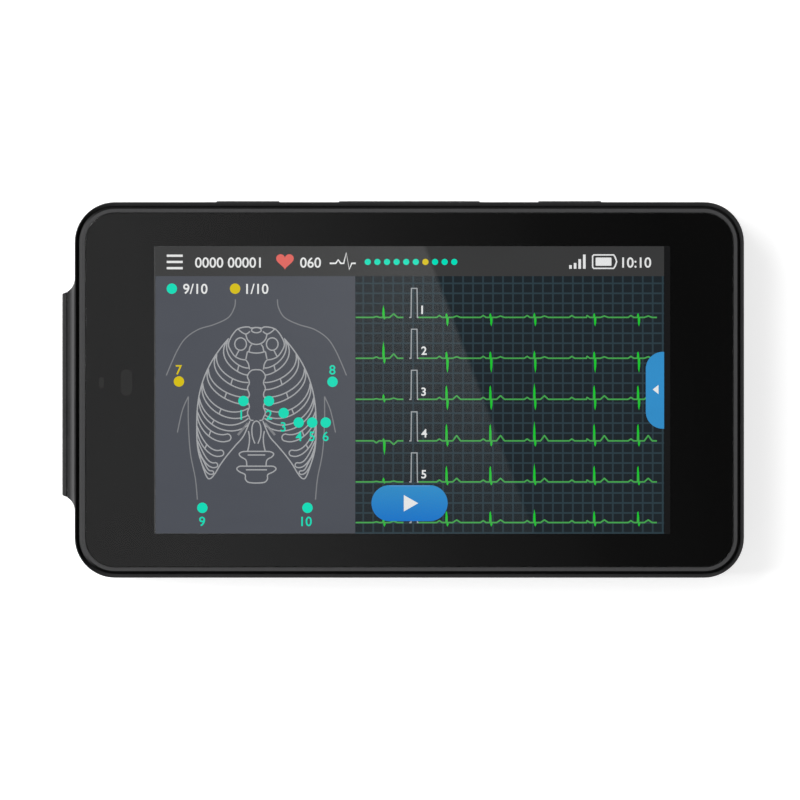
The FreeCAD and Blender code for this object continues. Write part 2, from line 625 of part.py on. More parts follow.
def add_sweep_outline(sketch, reach):
    """The space in front of the boss, seen from its end: over a hollow quarter circle."""
    side = f"(-{HALF_X})"
    far = f"({side} - boss_reach)"
    above = f"({RIM_TOP} + {PAST})"
    corners = [(f"{side} - {reach}", BOSS_TOP), (far, BOSS_TOP), (far, above), (side, above),
               (side, f"{BOSS_TOP} + {reach}")]
    points = [Vector(size(x), size(z), 0) for x, z in corners]
    for start, end in zip(points, points[1:]):
        sketch.addGeometry(Part.LineSegment(start, end), False)
    centre = Vector(points[0].x, points[-1].y, 0)
    circle = Part.Circle(centre, Vector(0, 0, 1), size(reach))
    sketch.addGeometry(Part.ArcOfCircle(circle, -math.pi / 2, 0.0), False)
    for line, ((x, z), point) in enumerate(zip(corners[:-1], points)):
        drive(sketch, Sketcher.Constraint("DistanceX", -1, 1, line, 1, point.x), x)
        drive(sketch, Sketcher.Constraint("DistanceY", -1, 1, line, 1, point.y), z)
        if line:
            sketch.addConstraint(Sketcher.Constraint("Coincident", line - 1, 2, line, 1))
    sketch.addConstraint(Sketcher.Constraint("Coincident", 4, 1, 0, 1))
    sketch.addConstraint(Sketcher.Constraint("Vertical", 3))
    sketch.addConstraint(Sketcher.Constraint("Tangent", 4, 2, 3, 2))
    drive(sketch, Sketcher.Constraint("Radius", 4, size(reach)), reach)


def make_rear_housing():
    body = new_body("rear_housing")
    outline = new_sketch(body, "XY_Plane")
    add_case_outline(outline)
    block = pad(body, outline, RIM_TOP)
    back = round_edges(body, block, "back_edge_radius", lambda edge: at_level(edge, 2, 0))
    rim = size(RIM_TOP)
    round_edges(body, back, "rim_edge_radius", lambda edge: at_level(edge, 2, rim))

    reach = "(boss_reach - surround_thickness - surround_groove)"
    boss = new_sketch(body, "XY_Plane", BOSS_LOW)
    add_boss_outline(boss, reach)
    pad(body, boss, f"{RIM_TOP} - {BOSS_LOW}")
    # the boss's front sweeps up to the rim in a hollow quarter circle
    sweep = new_sketch(body, "XZ_Plane", f"boss_offset + {HALF_Y}")
    add_sweep_outline(sweep, reach)
    pocket(body, sweep, "body_width", forwards=True)

    inside = new_sketch(body, "XY_Plane", RIM_TOP)
    add_case_outline(inside, "wall")
    pocket(body, inside, f"{RIM_TOP} - floor_thickness")
    rabbet = new_sketch(body, "XY_Plane", RIM_TOP)
    add_case_outline(rabbet, "rim_width")
    seat_cut = pocket(body, rabbet, f"{RIM_TOP} - {BEZEL_SEAT}")
    inner_x = size(f"{HALF_X} - rim_width") + 1e-4
    inner_y = size(f"{HALF_Y} - rim_width") + 1e-4

    def inside_rim(edge):
        box = edge.BoundBox
        return (at_level(edge, 2, rim) and -inner_x < box.XMin and box.XMax < inner_x
                and -inner_y < box.YMin and box.YMax < inner_y)
    slope_edges(body, seat_cut, "rim_slope_width", "rim_slope_height", inside_rim, flipped=True)

    # the pad that the socket's flange lies against, and the openings through it
    seat = new_sketch(body, "XY_Plane", "floor_thickness / 2")
    add_rectangle(seat, f"-{HALF_X} + wall / 2", SEAT_FACE,
                  "boss_offset - boss_flat / 2", "boss_offset + boss_flat / 2", "small_radius")
    pad(body, seat, f"{BEZEL_SEAT} - floor_thickness / 2")
    well = new_sketch(body, "YZ_Plane", f"-{HALF_X} - boss_reach")
    add_centred(well, "boss_offset", SOCKET_Z, "well_length + 2 * (collar_wall + collar_gap)",
                "well_height + 2 * (collar_wall + collar_gap)",
                "well_radius + collar_wall + collar_gap")
    pocket(body, well, "boss_reach + wall", forwards=True)
    plug = new_sketch(body, "YZ_Plane", f"-{INNER_X} - {PAST}")
    add_centred(plug, "boss_offset", SOCKET_Z, "plug_opening_length", "plug_opening_height",
                "plug_opening_radius")
    for sign in "-+":
        add_circle(plug, f"boss_offset {sign} screw_pitch / 2", SOCKET_Z,
                   "jack_radius + jack_hole_gap")
    pocket(body, plug, f"{PAST} + seat_thickness", forwards=True)

    # slots for the keys and the USB socket
    keys = new_sketch(body, "XZ_Plane", f"{HALF_Y} + {PAST}")
    for x, length in (("power_key_x", "short_key_length"), ("0", "long_key_length"),
                      ("function_key_x", "short_key_length")):
        add_centred(keys, x, "key_level", f"{length} + 2 * key_gap",
                    "key_height + 2 * key_gap", "key_corner_radius + key_gap")
    pocket(body, keys, f"wall + 2 * {PAST}", forwards=True)
    usb = new_sketch(body, "YZ_Plane", f"{HALF_X} + {PAST}")
    add_centred(usb, "usb_y", USB_Z, "usb_width + 2 * usb_slot_gap",
                "usb_height + 2 * usb_slot_gap", "(usb_height / 2 + usb_slot_gap) * 0.999")
    pocket(body, usb, f"wall + 2 * {PAST}")

    # bosses for the screws, and the ribs that hold the key bracket
    bosses = new_sketch(body, "XY_Plane", "floor_thickness / 2")
    for x, y in CORNERS:
        add_circle(bosses, x + CORNER_X, y + CORNER_Y, "corner_boss_radius")
    pad(body, bosses, "corner_boss_height - floor_thickness / 2")
    board_bosses = new_sketch(body, "XY_Plane", "floor_thickness / 2")
    for x, y in CORNERS:
        add_circle(board_bosses, x + "board_screw_x", y + "board_screw_y", "board_boss_radius")
    pad(body, board_bosses, f"{BOARD_UNDER} - floor_thickness / 2")
    ribs = new_sketch(body, "XY_Plane", "floor_thickness / 2")
    for sign in ("-", ""):
        add_rectangle(ribs, f"{sign}rib_x - rib_width / 2", f"{sign}rib_x + rib_width / 2",
                      FLEX_FACE, f"{INNER_Y} + wall / 2", "small_radius")
        behind = f"({BRACKET_FACE} - bracket_thickness)"
        add_rectangle(ribs, f"{sign}rib_x - rib_width / 2", f"{sign}rib_x + rib_width / 2",
                      f"{behind} - rib_depth", behind, "small_radius")
    pad(body, ribs, "rib_top - floor_thickness / 2")

    # screw holes, the speaker's slots and the shallow recess
    holes = new_sketch(body, "XY_Plane")
    for x, y in CORNERS:
        add_circle(holes, x + CORNER_X, y + CORNER_Y, "screw_hole_radius")
    pocket(body, holes, "corner_boss_height", forwards=True)
    heads = new_sketch(body, "XY_Plane")
    for x, y in CORNERS:
        add_circle(heads, x + CORNER_X, y + CORNER_Y, "head_radius + head_gap")
    pocket(body, heads, "head_seat", forwards=True)
    pilots = new_sketch(body, "XY_Plane", BOARD_UNDER)
    for x, y in CORNERS:
        add_circle(pilots, x + "board_screw_x", y + "board_screw_y", "screw_radius")
    pocket(body, pilots, "board_screw_length + screw_tip_gap")
    recess = new_sketch(body, "XY_Plane")
    add_centred(recess, "0", "recess_offset", "recess_length", "recess_width",
                "recess_radius")
    pocket(body, recess, "recess_depth", forwards=True)
    slot = new_sketch(body, "XY_Plane")
    add_centred(slot, f"(speaker_x - grille_pitch * {(GRILLE_SLOTS - 1) / 2})", "0",
                "grille_slot_width", "grille_slot_length", "grille_slot_width / 2 * 0.999")
    first_slot = pocket(body, slot, "floor_thickness", forwards=True)
    doc.recompute()
    pattern = body.newObject("PartDesign::LinearPattern", "grille_pattern")
    pattern.Originals = [first_slot]
    pattern.Direction = (slot, ["H_Axis"])
    pattern.setExpression("Length", bound(f"grille_pitch * {GRILLE_SLOTS - 1}"))
    pattern.Occurrences = GRILLE_SLOTS
    body.Tip = pattern
    keep(body, "rear_housing")


def make_socket_surround():
    """The outer plate of the boss, with the collar that plugs into the housing."""
    body = new_body("socket_surround")
    boss = new_sketch(body, "XY_Plane", BOSS_LOW)
    add_boss_outline(boss, "boss_reach")
    whole = pad(body, boss, "boss_height")
    face = size(f"-{HALF_X} - boss_reach")
    round_edges(body, whole, "surround_edge_radius", lambda edge: at_level(edge, 0, face))
    behind = new_sketch(body, "XY_Plane", f"{BOSS_TOP} + {PAST}")
    add_rectangle(behind, f"-{HALF_X} - boss_reach + surround_thickness", f"-{HALF_X} + wall",
                  "boss_offset - boss_flat", "boss_offset + boss_flat", "small_radius")
    pocket(body, behind, f"boss_height + 2 * {PAST}")
    collar = new_sketch(body, "YZ_Plane", f"-{HALF_X} - boss_reach + surround_thickness / 2")
    add_centred(collar, "boss_offset", SOCKET_Z, "well_length + 2 * collar_wall",
                "well_height + 2 * collar_wall", "well_radius + collar_wall")
    pad(body, collar, "surround_thickness / 2 + collar_depth")
    opening = new_sketch(body, "YZ_Plane", f"-{HALF_X} - boss_reach")
    add_centred(opening, "boss_offset", SOCKET_Z, "well_length", "well_height", "well_radius")
    pocket(body, opening, "surround_thickness + collar_depth", forwards=True)
    keep(body, "socket_surround")


# The front: bezel, glass, print and the screen behind them

def make_front_bezel():
    body = new_body("front_bezel")
    outline = new_sketch(body, "XY_Plane", BEZEL_SEAT)
    add_case_outline(outline, BEZEL_INSET)
    ring = pad(body, outline, f"{FLAT_TOP} - {BEZEL_SEAT}")
    top = size(FLAT_TOP)
    slope_edges(body, ring, "slope_width", "slope_height", lambda edge: at_level(edge, 2, top))
    glass_pocket = new_sketch(body, "XY_Plane", FLAT_TOP)
    add_case_outline(glass_pocket, POCKET_INSET)
    pocket(body, glass_pocket, f"{FLAT_TOP} - {LEDGE_TOP}")
    opening = new_sketch(body, "XY_Plane", LEDGE_TOP)
    add_centred(opening, "0", "0", "panel_length + 2 * panel_gap",
                "panel_width + 2 * panel_side_gap", "ledge_radius")
    pocket(body, opening, "ledge_thickness")
    notch = new_sketch(body, "XY_Plane", LEDGE_TOP)
    half = "(large_window_height / 2 + notch_margin)"
    add_rectangle(notch, f"{SENSOR_X} - notch_margin", "-panel_length / 2",
                  f"sensor_offset - {half}", f"sensor_offset + {half}", "small_radius")
    pocket(body, notch, "ledge_thickness")

    posts = new_sketch(body, "XY_Plane", BEZEL_SEAT)
    for x, y in CORNERS:
        add_circle(posts, x + CORNER_X, y + CORNER_Y, "corner_post_radius")
    pad(body, posts, f"{BEZEL_SEAT} - corner_boss_height", backwards=True)
    small_posts = new_sketch(body, "XY_Plane", BEZEL_SEAT)
    for x, y in CORNERS:
        add_circle(small_posts, x + POST_X, y + POST_Y, "post_radius")
    pad(body, small_posts, f"{BEZEL_SEAT} - {BACKLIGHT_UNDER}", backwards=True)
    insert_holes = new_sketch(body, "XY_Plane", "corner_boss_height")
    for x, y in CORNERS:
        add_circle(insert_holes, x + CORNER_X, y + CORNER_Y, "insert_radius")
    pocket(body, insert_holes, "insert_length", forwards=True)
    pilots = new_sketch(body, "XY_Plane", BACKLIGHT_UNDER)
    for x, y in CORNERS:
        add_circle(pilots, x + POST_X, y + POST_Y, "small_screw_radius")
    pocket(body, pilots, f"{BEZEL_SEAT} - {BACKLIGHT_UNDER}", forwards=True)
    keep(body, "front_bezel")


WINDOWS = (
    (SENSOR_X, "small_window_width", "small_window_height"),
    (LARGE_SENSOR_X, "large_window_width", "large_window_height"),
)


def make_glass():
    glass = new_body("cover_glass")
    outline = new_sketch(glass, "XY_Plane", GLASS_UNDER)
    add_case_outline(outline, GLASS_INSET)
    plate = pad(glass, outline, "glass_thickness")
    top = size("body_thickness")
    round_edges(glass, plate, "glass_edge_radius", lambda edge: at_level(edge, 2, top))
    keep(glass, "cover_glass")

    border = new_body("border_print")
    outer = new_sketch(border, "XY_Plane", PRINT_UNDER)
    add_case_outline(outer, f"({GLASS_INSET} + print_margin)")
    pad(border, outer, "print_thickness")
    window = new_sketch(border, "XY_Plane", GLASS_UNDER)
    add_centred(window, "(print_window_side - print_window_gap) / 2", "0",
                "screen_length + print_window_gap + print_window_side",
                "screen_width + 2 * print_window_gap", "print_window_radius")
    for x, width, height in WINDOWS:
        add_centred(window, x, "sensor_offset", width, height, f"{width} / 2 * 0.99")
    pocket(border, window, "print_thickness")
    keep(border, "border_print")

    panes = [slab(f"window_{number}", PRINT_UNDER, GLASS_UNDER, x, "sensor_offset", width, height,
                  f"{width} / 2 * 0.99")
             for number, (x, width, height) in enumerate(WINDOWS)]
    keep(group("sensor_windows", panes), "sensor_windows")

    tape = new_body("glass_tape")
    frame = new_sketch(tape, "XY_Plane", LEDGE_TOP)
    add_case_outline(frame, f"({GLASS_INSET} + tape_margin)")
    add_centred(frame, "0", "0", f"2 * (-{SENSOR_X} + notch_margin)",
                "panel_width + 2 * panel_side_gap + tape_inset", "corner_radius / 2")
    pad(tape, frame, "tape_thickness")
    keep(tape, "glass_tape")


def make_screen():
    keep(slab("touch_sensor", TOUCH_UNDER, PRINT_UNDER, "0", "0", "panel_length + 2 * touch_margin",
              "panel_width + 2 * touch_margin", "touch_radius"), "touch_sensor")
    keep(slab("lcd_panel", PANEL_UNDER, TOUCH_UNDER, "0", "0", "panel_length", "panel_width",
              "panel_radius"), "lcd_panel")
    keep(slab("backlight_unit", BACKLIGHT_UNDER, PANEL_UNDER, "0", "0", "panel_length",
              "panel_width", "backlight_radius"), "backlight_unit")

    frame = slab("midframe", MIDFRAME_UNDER, BACKLIGHT_UNDER, "0", "0",
                 "panel_length + 2 * midframe_overhang",
                 "panel_width + 2 * midframe_side_overhang", "midframe_radius")
    holes = new_sketch(frame, "XY_Plane", BACKLIGHT_UNDER)
    for x, y in CORNERS:
        add_circle(holes, x + POST_X, y + POST_Y, "small_screw_radius + small_hole_gap")
        add_circle(holes, x + CORNER_X, y + CORNER_Y, "corner_boss_radius + board_corner_gap")
    add_rectangle(holes, "panel_length / 2 + strip_clearance / 3",
                  f"panel_length / 2 + midframe_overhang + {PAST}",
                  "-display_flex_width / 2 - strip_side_gap",
                  "display_flex_width / 2 + strip_side_gap", "small_radius")
    pocket(frame, holes, "midframe_thickness")
    keep(frame, "midframe")

    screws = []
    for number, (x, y) in enumerate(CORNERS):
        head = cylinder(f"small_head_{number}", "Z", x + POST_X, y + POST_Y,
                        f"{MIDFRAME_UNDER} - small_head_height",
                        "small_head_radius", "small_head_height")
        shank = cylinder(f"small_shank_{number}", "Z", x + POST_X, y + POST_Y, MIDFRAME_UNDER,
                         "small_screw_radius",
                         f"{BEZEL_SEAT} - {MIDFRAME_UNDER} - screw_tip_gap")
        screws.append(fuse(f"small_screw_{number}", [head, shank]))
    keep(group("midframe_screws", screws), "midframe_screws")


def make_sensors():
    """The light and proximity sensors, on a thin board under the bezel's ledge."""
    under = f"({BEZEL_SEAT} - sensor_board_thickness)"
    half = "(large_window_height / 2 + 2 * notch_margin)"
    left = f"{SEAT_FACE} + flange_thickness + sensor_margin / 2"
    keep(box("sensor_board", left, "-panel_length / 2 - panel_gap", f"sensor_offset - {half}",
             f"sensor_offset + {half}", under, BEZEL_SEAT), "sensor_board")
    for label, (x, width, height) in zip(("light_sensor", "proximity_sensor"), WINDOWS):
        half_x = f"({width} / 2 + sensor_margin / 2)"
        half_y = f"({height} / 2 + sensor_margin / 2)"
        keep(box(label, f"{x} - {half_x}", f"{x} + {half_x}", f"sensor_offset - {half_y}",
                 f"sensor_offset + {half_y}", BEZEL_SEAT, f"{BEZEL_SEAT} + sensor_height"), label)


# The flat flexes that bend round the screen

def strip_outline(points, half_thickness, bend):
    """The closed edge outline of a bent strip: lines offset both ways, with arcs at the bends."""
    def one_side(offset):
        side = []
        for number in range(1, len(points) - 1):
            before, here, after = points[number - 1:number + 2]
            enter = (here - before).normalize()
            leave = (after - here).normalize()
            turn = enter.x * leave.y - enter.y * leave.x
            start = here - enter * bend
            end = here + leave * bend
            inwards = Vector(-enter.y, enter.x, 0) * math.copysign(1, turn)
            centre = start + inwards * bend
            reach = bend - offset * math.copysign(1, turn)
            first, last = ((point - centre).normalize() * reach for point in (start, end))
            middle = (first + last).normalize() * reach
            side.append(tuple(centre + arm for arm in (first, middle, last)))
        return side

    def moved(point, other, offset):
        along = (other - point).normalize()
        return point + Vector(-along.y, along.x, 0) * offset

    edges = []
    ends = []
    for offset in (half_thickness, -half_thickness):
        here = moved(points[0], points[1], offset)
        ends.append(here)
        for first, middle, last in one_side(offset):
            edges.append(Part.makeLine(here, first))
            edges.append(Part.Arc(first, middle, last).toShape())
            here = last
        final = moved(points[-1], points[-2], -offset)
        edges.append(Part.makeLine(here, final))
        ends.append(final)
    edges.append(Part.makeLine(ends[0], ends[2]))
    edges.append(Part.makeLine(ends[1], ends[3]))
    return Part.Wire(Part.__sortEdges__(edges))


def make_strip(label, route, width, placement):
    """A flat flex along a route of points in one plane, as wide as the width across it."""
    points = [Vector(size(across), size(level), 0) for across, level in route]
    outline = strip_outline(points, size("strip_thickness") / 2, size("strip_bend"))
    thing = doc.addObject("Part::Feature", label)
    thing.Shape = Part.Face(outline).extrude(Vector(0, 0, size(width)))
    thing.Placement = placement
    keep(thing, label)


def make_flexes():
    landing = f"({BOARD_TOP} + connector_height + strip_thickness / 2)"
    start = "panel_length / 2"
    out = "(panel_length / 2 + strip_clearance)"
    leaves = f"({PANEL_UNDER} + panel_thickness / 4)"
    upright = FreeCAD.Rotation(Vector(1, 0, 0), 90)
    make_strip("display_flex",
               [(start, leaves), (out, leaves), (out, landing),
                (f"{start} - flex_landing", landing)],
               "display_flex_width",
               FreeCAD.Placement(Vector(0, size("display_flex_width / 2"), 0), upright))
    keep(box("display_connector", f"{start} - flex_landing",
             f"{start} - flex_landing + connector_length", "-display_flex_width / 2",
             "display_flex_width / 2", BOARD_TOP, f"{BOARD_TOP} + connector_height"),
         "display_connector")

    edge = "(panel_width / 2 + touch_margin)"
    below = f"({edge} + touch_flex_gap)"
    sensor_level = f"({TOUCH_UNDER} + strip_thickness)"
    # turned so that the route's first axis runs to -Y and the strip's width along X
    facing = FreeCAD.Rotation(Vector(0, -1, 0), Vector(0, 0, 1), Vector(-1, 0, 0), "ZXY")
    make_strip("touch_flex",
               [(edge, sensor_level), (below, sensor_level), (below, landing),
                (f"{edge} - touch_landing", landing)],
               "touch_flex_width",
               FreeCAD.Placement(Vector(size("touch_flex_x + touch_flex_width / 2"), 0, 0),
                                 facing))
    keep(box("touch_connector", "touch_flex_x - touch_flex_width / 2",
             "touch_flex_x + touch_flex_width / 2",
             f"-{edge} + touch_landing - connector_length", f"-{edge} + touch_landing",
             BOARD_TOP, f"{BOARD_TOP} + connector_height"), "touch_connector")


# The circuit board and what stands on it

def make_board():
    board = new_body("main_board")
    sketch = new_sketch(board, "XY_Plane", BOARD_UNDER)
    add_rectangle(sketch, f"-{HALF_X} + board_start", f"{INNER_X} - board_end_gap",
                  f"-{INNER_Y} + board_side_gap", f"{INNER_Y} - board_side_gap",
                  "board_radius")
    pad(board, sketch, "board_thickness")
    # the right corners are notched where the case's rounded corners would cut them
    reach = "(corner_radius - wall - board_arc_gap)"
    centre_x = f"({HALF_X} - corner_radius)"
    centre_y = f"({HALF_Y} - corner_radius)"
    end = f"({INNER_X} - board_end_gap)"
    side = f"({INNER_Y} - board_side_gap)"
    notch_x = f"({centre_x} + sqrt({reach} ^ 2 - ({side} - {centre_y}) ^ 2))"
    notch_y = f"({centre_y} + sqrt({reach} ^ 2 - ({end} - {centre_x}) ^ 2))"
    notches = new_sketch(board, "XY_Plane", BOARD_TOP)
    add_rectangle(notches, notch_x, f"{end} + {PAST}", notch_y, f"{side} + {PAST}",
                  "small_radius")
    add_rectangle(notches, notch_x, f"{end} + {PAST}", f"-{side} - {PAST}", f"-{notch_y}",
                  "small_radius")
    pocket(board, notches, "board_thickness")
    holes = new_sketch(board, "XY_Plane", BOARD_TOP)
    for x, y in CORNERS:
        add_circle(holes, x + CORNER_X, y + CORNER_Y, "corner_boss_radius + board_corner_gap")
        add_circle(holes, x + "board_screw_x", y + "board_screw_y",
                   "screw_radius + small_hole_gap")
    pocket(board, holes, "board_thickness")
    keep(board, "main_board")

    screws = []
    for number, (x, y) in enumerate(CORNERS):
        place = (x + "board_screw_x", y + "board_screw_y")
        head = cylinder(f"board_head_{number}", "Z", *place, BOARD_TOP, "head_radius",
                        "head_height")
        shank = cylinder(f"board_shank_{number}", "Z", *place,
                         f"{BOARD_UNDER} - board_screw_length", "screw_radius",
                         "board_screw_length + board_thickness")
        drive_hole = hexagon(f"board_socket_{number}", "Z", *place,
                             f"{BOARD_TOP} + head_height / 2", "key_socket", "head_height")
        screws.append(cut(f"board_screw_{number}", fuse(f"board_pin_{number}", [head, shank]),
                          drive_hole))
    keep(group("board_screws", screws), "board_screws")


def on_board(place, height, margin="0", ending="_block"):
    """A block on the board, at the place that the sheet names, less a margin on its sides."""
    half_x = f"({place}_length / 2 - {margin})"
    half_y = f"({place}_width / 2 - {margin})"
    return box(place + ending, f"{place}_x - {half_x}", f"{place}_x + {half_x}",
               f"{place}_y - {half_y}", f"{place}_y + {half_y}", BOARD_TOP,
               f"{BOARD_TOP} + {height}")


def make_shield(label):
    outside = on_board(label, "can_height")
    inside = on_board(label, "can_height - can_wall", "can_wall", "_space")
    keep(cut(label, outside, inside), label)


def make_sim():
    """The holder, open at its upper end, and the card in it."""
    left = "(sim_holder_x - sim_holder_length / 2 + sim_holder_wall)"
    right = "(sim_holder_x + sim_holder_length / 2 - sim_holder_wall)"
    bottom = "(sim_holder_y - sim_holder_width / 2 + sim_holder_wall)"
    top = "(sim_holder_y + sim_holder_width / 2)"
    low = f"({BOARD_TOP} + sim_holder_skin)"
    block = on_board("sim_holder", "sim_holder_height")
    space = box("sim_space", left, right, bottom, f"{top} + {PAST}", low,
                f"{BOARD_TOP} + sim_holder_height - sim_holder_skin")
    keep(cut("sim_holder", block, space), "sim_holder")
    keep(box("sim_card", f"{left} + sim_card_gap", f"{right} - sim_card_gap",
             f"{bottom} + sim_card_gap", f"{top} - sim_holder_wall / 2", low,
             f"{low} + sim_card_thickness"), "sim_card")


def make_antenna():
    wall_face = f"(-{INNER_Y})"
    film_face = f"({wall_face} + antenna_thickness)"
    keep(box("antenna", "antenna_left", "antenna_right", wall_face, film_face, "antenna_low",
             "antenna_high"), "antenna")
    keep(box("antenna_spring", "antenna_spring_x - antenna_spring_width / 2",
             "antenna_spring_x + antenna_spring_width / 2", film_face,
             f"{wall_face} + board_side_gap + antenna_spring_foot", BOARD_TOP,
             f"{BOARD_TOP} + antenna_spring_thickness"), "antenna_spring")


def make_electronics():
    for label in ("frontend_shield", "processor_shield", "modem_shield"):
        make_shield(label)
    for label in ("processor_chip", "memory_chip", "modem_chip"):
        keep(on_board(label, "chip_height"), label)
    converters = [on_board(label, "chip_height")
                  for label in ("lower_converter", "upper_converter")]
    keep(group("frontend_chips", converters), "frontend_chips")
    keep(cylinder("clock_cell", "Z", "clock_cell_x", "clock_cell_y", BOARD_TOP,
                  "clock_cell_radius", "clock_cell_height"), "clock_cell")
    make_sim()
    make_antenna()


def make_usb():
    mouth = f"({HALF_X} - usb_recess)"
    shell = new_body("usb_shell")
    outline = new_sketch(shell, "YZ_Plane", f"{mouth} - usb_depth")
    add_centred(outline, "usb_y", USB_Z, "usb_width", "usb_height", "usb_height / 2 * 0.999")
    add_centred(outline, "usb_y", USB_Z, "usb_width - 2 * usb_wall", "usb_height - 2 * usb_wall",
                "(usb_height / 2 - usb_wall) * 0.999")
    pad(shell, outline, "usb_depth")
    keep(shell, "usb_shell")

    tongue = new_body("usb_tongue")
    block = new_sketch(tongue, "YZ_Plane", f"{mouth} - usb_depth")
    add_centred(block, "usb_y", USB_Z, "usb_width - 2 * usb_wall", "usb_height - 2 * usb_wall",
                "(usb_height / 2 - usb_wall) * 0.999")
    pad(tongue, block, "usb_block")
    blade = new_sketch(tongue, "YZ_Plane", f"{mouth} - usb_depth + usb_block / 2")
    add_centred(blade, "usb_y", USB_Z, "usb_blade_width", "usb_blade_thickness",
                "small_radius")
    pad(tongue, blade, "usb_depth - usb_block / 2 - usb_blade_recess")
    keep(tongue, "usb_tongue")


# The lead socket in the boss

def add_shell_outline(sketch):
    """The connector's D shape, wide side up."""
    top = "(shell_length / 2)"
    bottom = f"({top} - shell_slope)"
    half = "(shell_height / 2)"
    add_polygon(sketch, [
        (f"boss_offset - {bottom}", f"{SOCKET_Z} - {half}"),
        (f"boss_offset + {bottom}", f"{SOCKET_Z} - {half}"),
        (f"boss_offset + {top}", f"{SOCKET_Z} + {half}"),
        (f"boss_offset - {top}", f"{SOCKET_Z} + {half}"),
    ])


def runs_along_x(edge):
    box = edge.BoundBox
    return box.XLength > 1 and box.YLength < 1e-4 and box.ZLength < 1e-4


def contact_places():
    """The contacts' middles: the long row above, the short row below."""
    places = []
    for count, sign in ((LONG_ROW, "+"), (SHORT_ROW, "-")):
        for number in range(count):
            shift = number - (count - 1) / 2
            places.append((f"(boss_offset + pin_pitch * ({shift}))",
                           f"({SOCKET_Z} {sign} pin_row_gap / 2)"))
    return places


def make_socket():
    mouth = f"({SEAT_FACE} - shell_reach)"
    shell = new_body("socket_shell")
    front = new_sketch(shell, "YZ_Plane", mouth)
    add_shell_outline(front)
    tube = pad(shell, front, "shell_reach + flange_thickness / 2")
    round_edges(shell, tube, "shell_corner_radius", runs_along_x)
    flange = new_sketch(shell, "YZ_Plane", SEAT_FACE)
    add_centred(flange, "boss_offset", SOCKET_Z, "flange_length", "flange_height",
                "flange_radius")
    for sign in "-+":
        add_circle(flange, f"boss_offset {sign} screw_pitch / 2", SOCKET_Z,
                   "jack_radius + jack_hole_gap")
    pad(shell, flange, "flange_thickness")
    hollow = new_sketch(shell, "YZ_Plane", mouth)
    # straight sides with cut corners stay inside the round corners of the outside
    top = "(shell_length / 2 - shell_wall)"
    bottom = f"({top} - shell_slope)"
    half = "(shell_height / 2 - shell_wall)"
    corner = "(shell_corner_radius * 0.45)"
    hollow_corners = [
        (f"-{bottom} + {corner}", f"-{half}"), (f"{bottom} - {corner}", f"-{half}"),
        (f"{bottom}", f"-{half} + {corner}"), (f"{top}", f"{half} - {corner}"),
        (f"{top} - {corner}", f"{half}"), (f"-{top} + {corner}", f"{half}"),
        (f"-{top}", f"{half} - {corner}"), (f"-{bottom}", f"-{half} + {corner}"),
    ]
    add_polygon(hollow, [(f"boss_offset + ({x})", f"{SOCKET_Z} + ({z})")
                         for x, z in hollow_corners])
    pocket(shell, hollow, "shell_reach + flange_thickness", forwards=True)
    keep(shell, "socket_shell")

    insulator = new_body("socket_insulator")
    core = new_sketch(insulator, "YZ_Plane", f"{mouth} + insulator_recess")
    add_polygon(core, [(f"boss_offset + ({x})", f"{SOCKET_Z} + ({z})")
                       for x, z in hollow_corners])
    pad(insulator, core, "shell_reach + flange_thickness - insulator_recess")
    block = new_sketch(insulator, "YZ_Plane", f"{SEAT_FACE} + flange_thickness")
    add_centred(block, "boss_offset", SOCKET_Z, "insulator_length", "insulator_height",
                "insulator_radius")
    pad(insulator, block, "insulator_depth")
    holes = new_sketch(insulator, "YZ_Plane", mouth)
    for y, z in contact_places():
        add_circle(holes, y, z, "pin_radius")
    pocket(insulator, holes, "shell_reach + flange_thickness + insulator_depth", forwards=True)
    keep(insulator, "socket_insulator")

    contacts = []
    start = f"({mouth} + insulator_recess + pin_recess)"
    end = f"({SEAT_FACE} + flange_thickness + insulator_depth)"
    for number, (y, z) in enumerate(contact_places()):
        barrel = cylinder(f"barrel_{number}", "X", start, y, z, "pin_radius", f"{end} - {start}")
        tail = cylinder(f"tail_{number}", "X", end, y, z, "pin_row_gap / 2 - board_thickness / 2",
                        "tail_length")
        bore = cylinder(f"bore_{number}", "X", start, y, z, "pin_bore_radius", "pin_bore_depth")
        contacts.append(cut(f"contact_{number}", fuse(f"contact_rod_{number}", [barrel, tail]),
                            bore))
    keep(group("socket_contacts", contacts), "socket_contacts")

    jacks = []
    nuts = []
    for number, sign in enumerate("-+"):
        y = f"(boss_offset {sign} screw_pitch / 2)"
        wall_face = f"(-{INNER_X})"
        head = hexagon(f"jack_head_{number}", "X", f"{wall_face} - jack_length", y, SOCKET_Z,
                       "jack_flats", "jack_length")
        stud = cylinder(f"jack_stud_{number}", "X", wall_face, y, SOCKET_Z, "jack_radius",
                        "jack_stud")
        thread = cylinder(f"jack_thread_{number}", "X", f"{wall_face} - jack_length", y, SOCKET_Z,
                          "jack_radius", "jack_length - jack_thread_stop")
        jacks.append(cut(f"jack_{number}", fuse(f"jack_body_{number}", [head, stud]), thread))
        nut_face = f"({SEAT_FACE} + flange_thickness)"
        nut = hexagon(f"nut_body_{number}", "X", nut_face, y, SOCKET_Z, "jack_flats",
                      "nut_thickness")
        hole = cylinder(f"nut_hole_{number}", "X", nut_face, y, SOCKET_Z,
                        "jack_radius + nut_gap", "nut_thickness")
        nuts.append(cut(f"nut_{number}", nut, hole))
    keep(group("jack_nuts", jacks), "jack_nuts")
    keep(group("socket_nuts", nuts), "socket_nuts")


# The keys on the top side

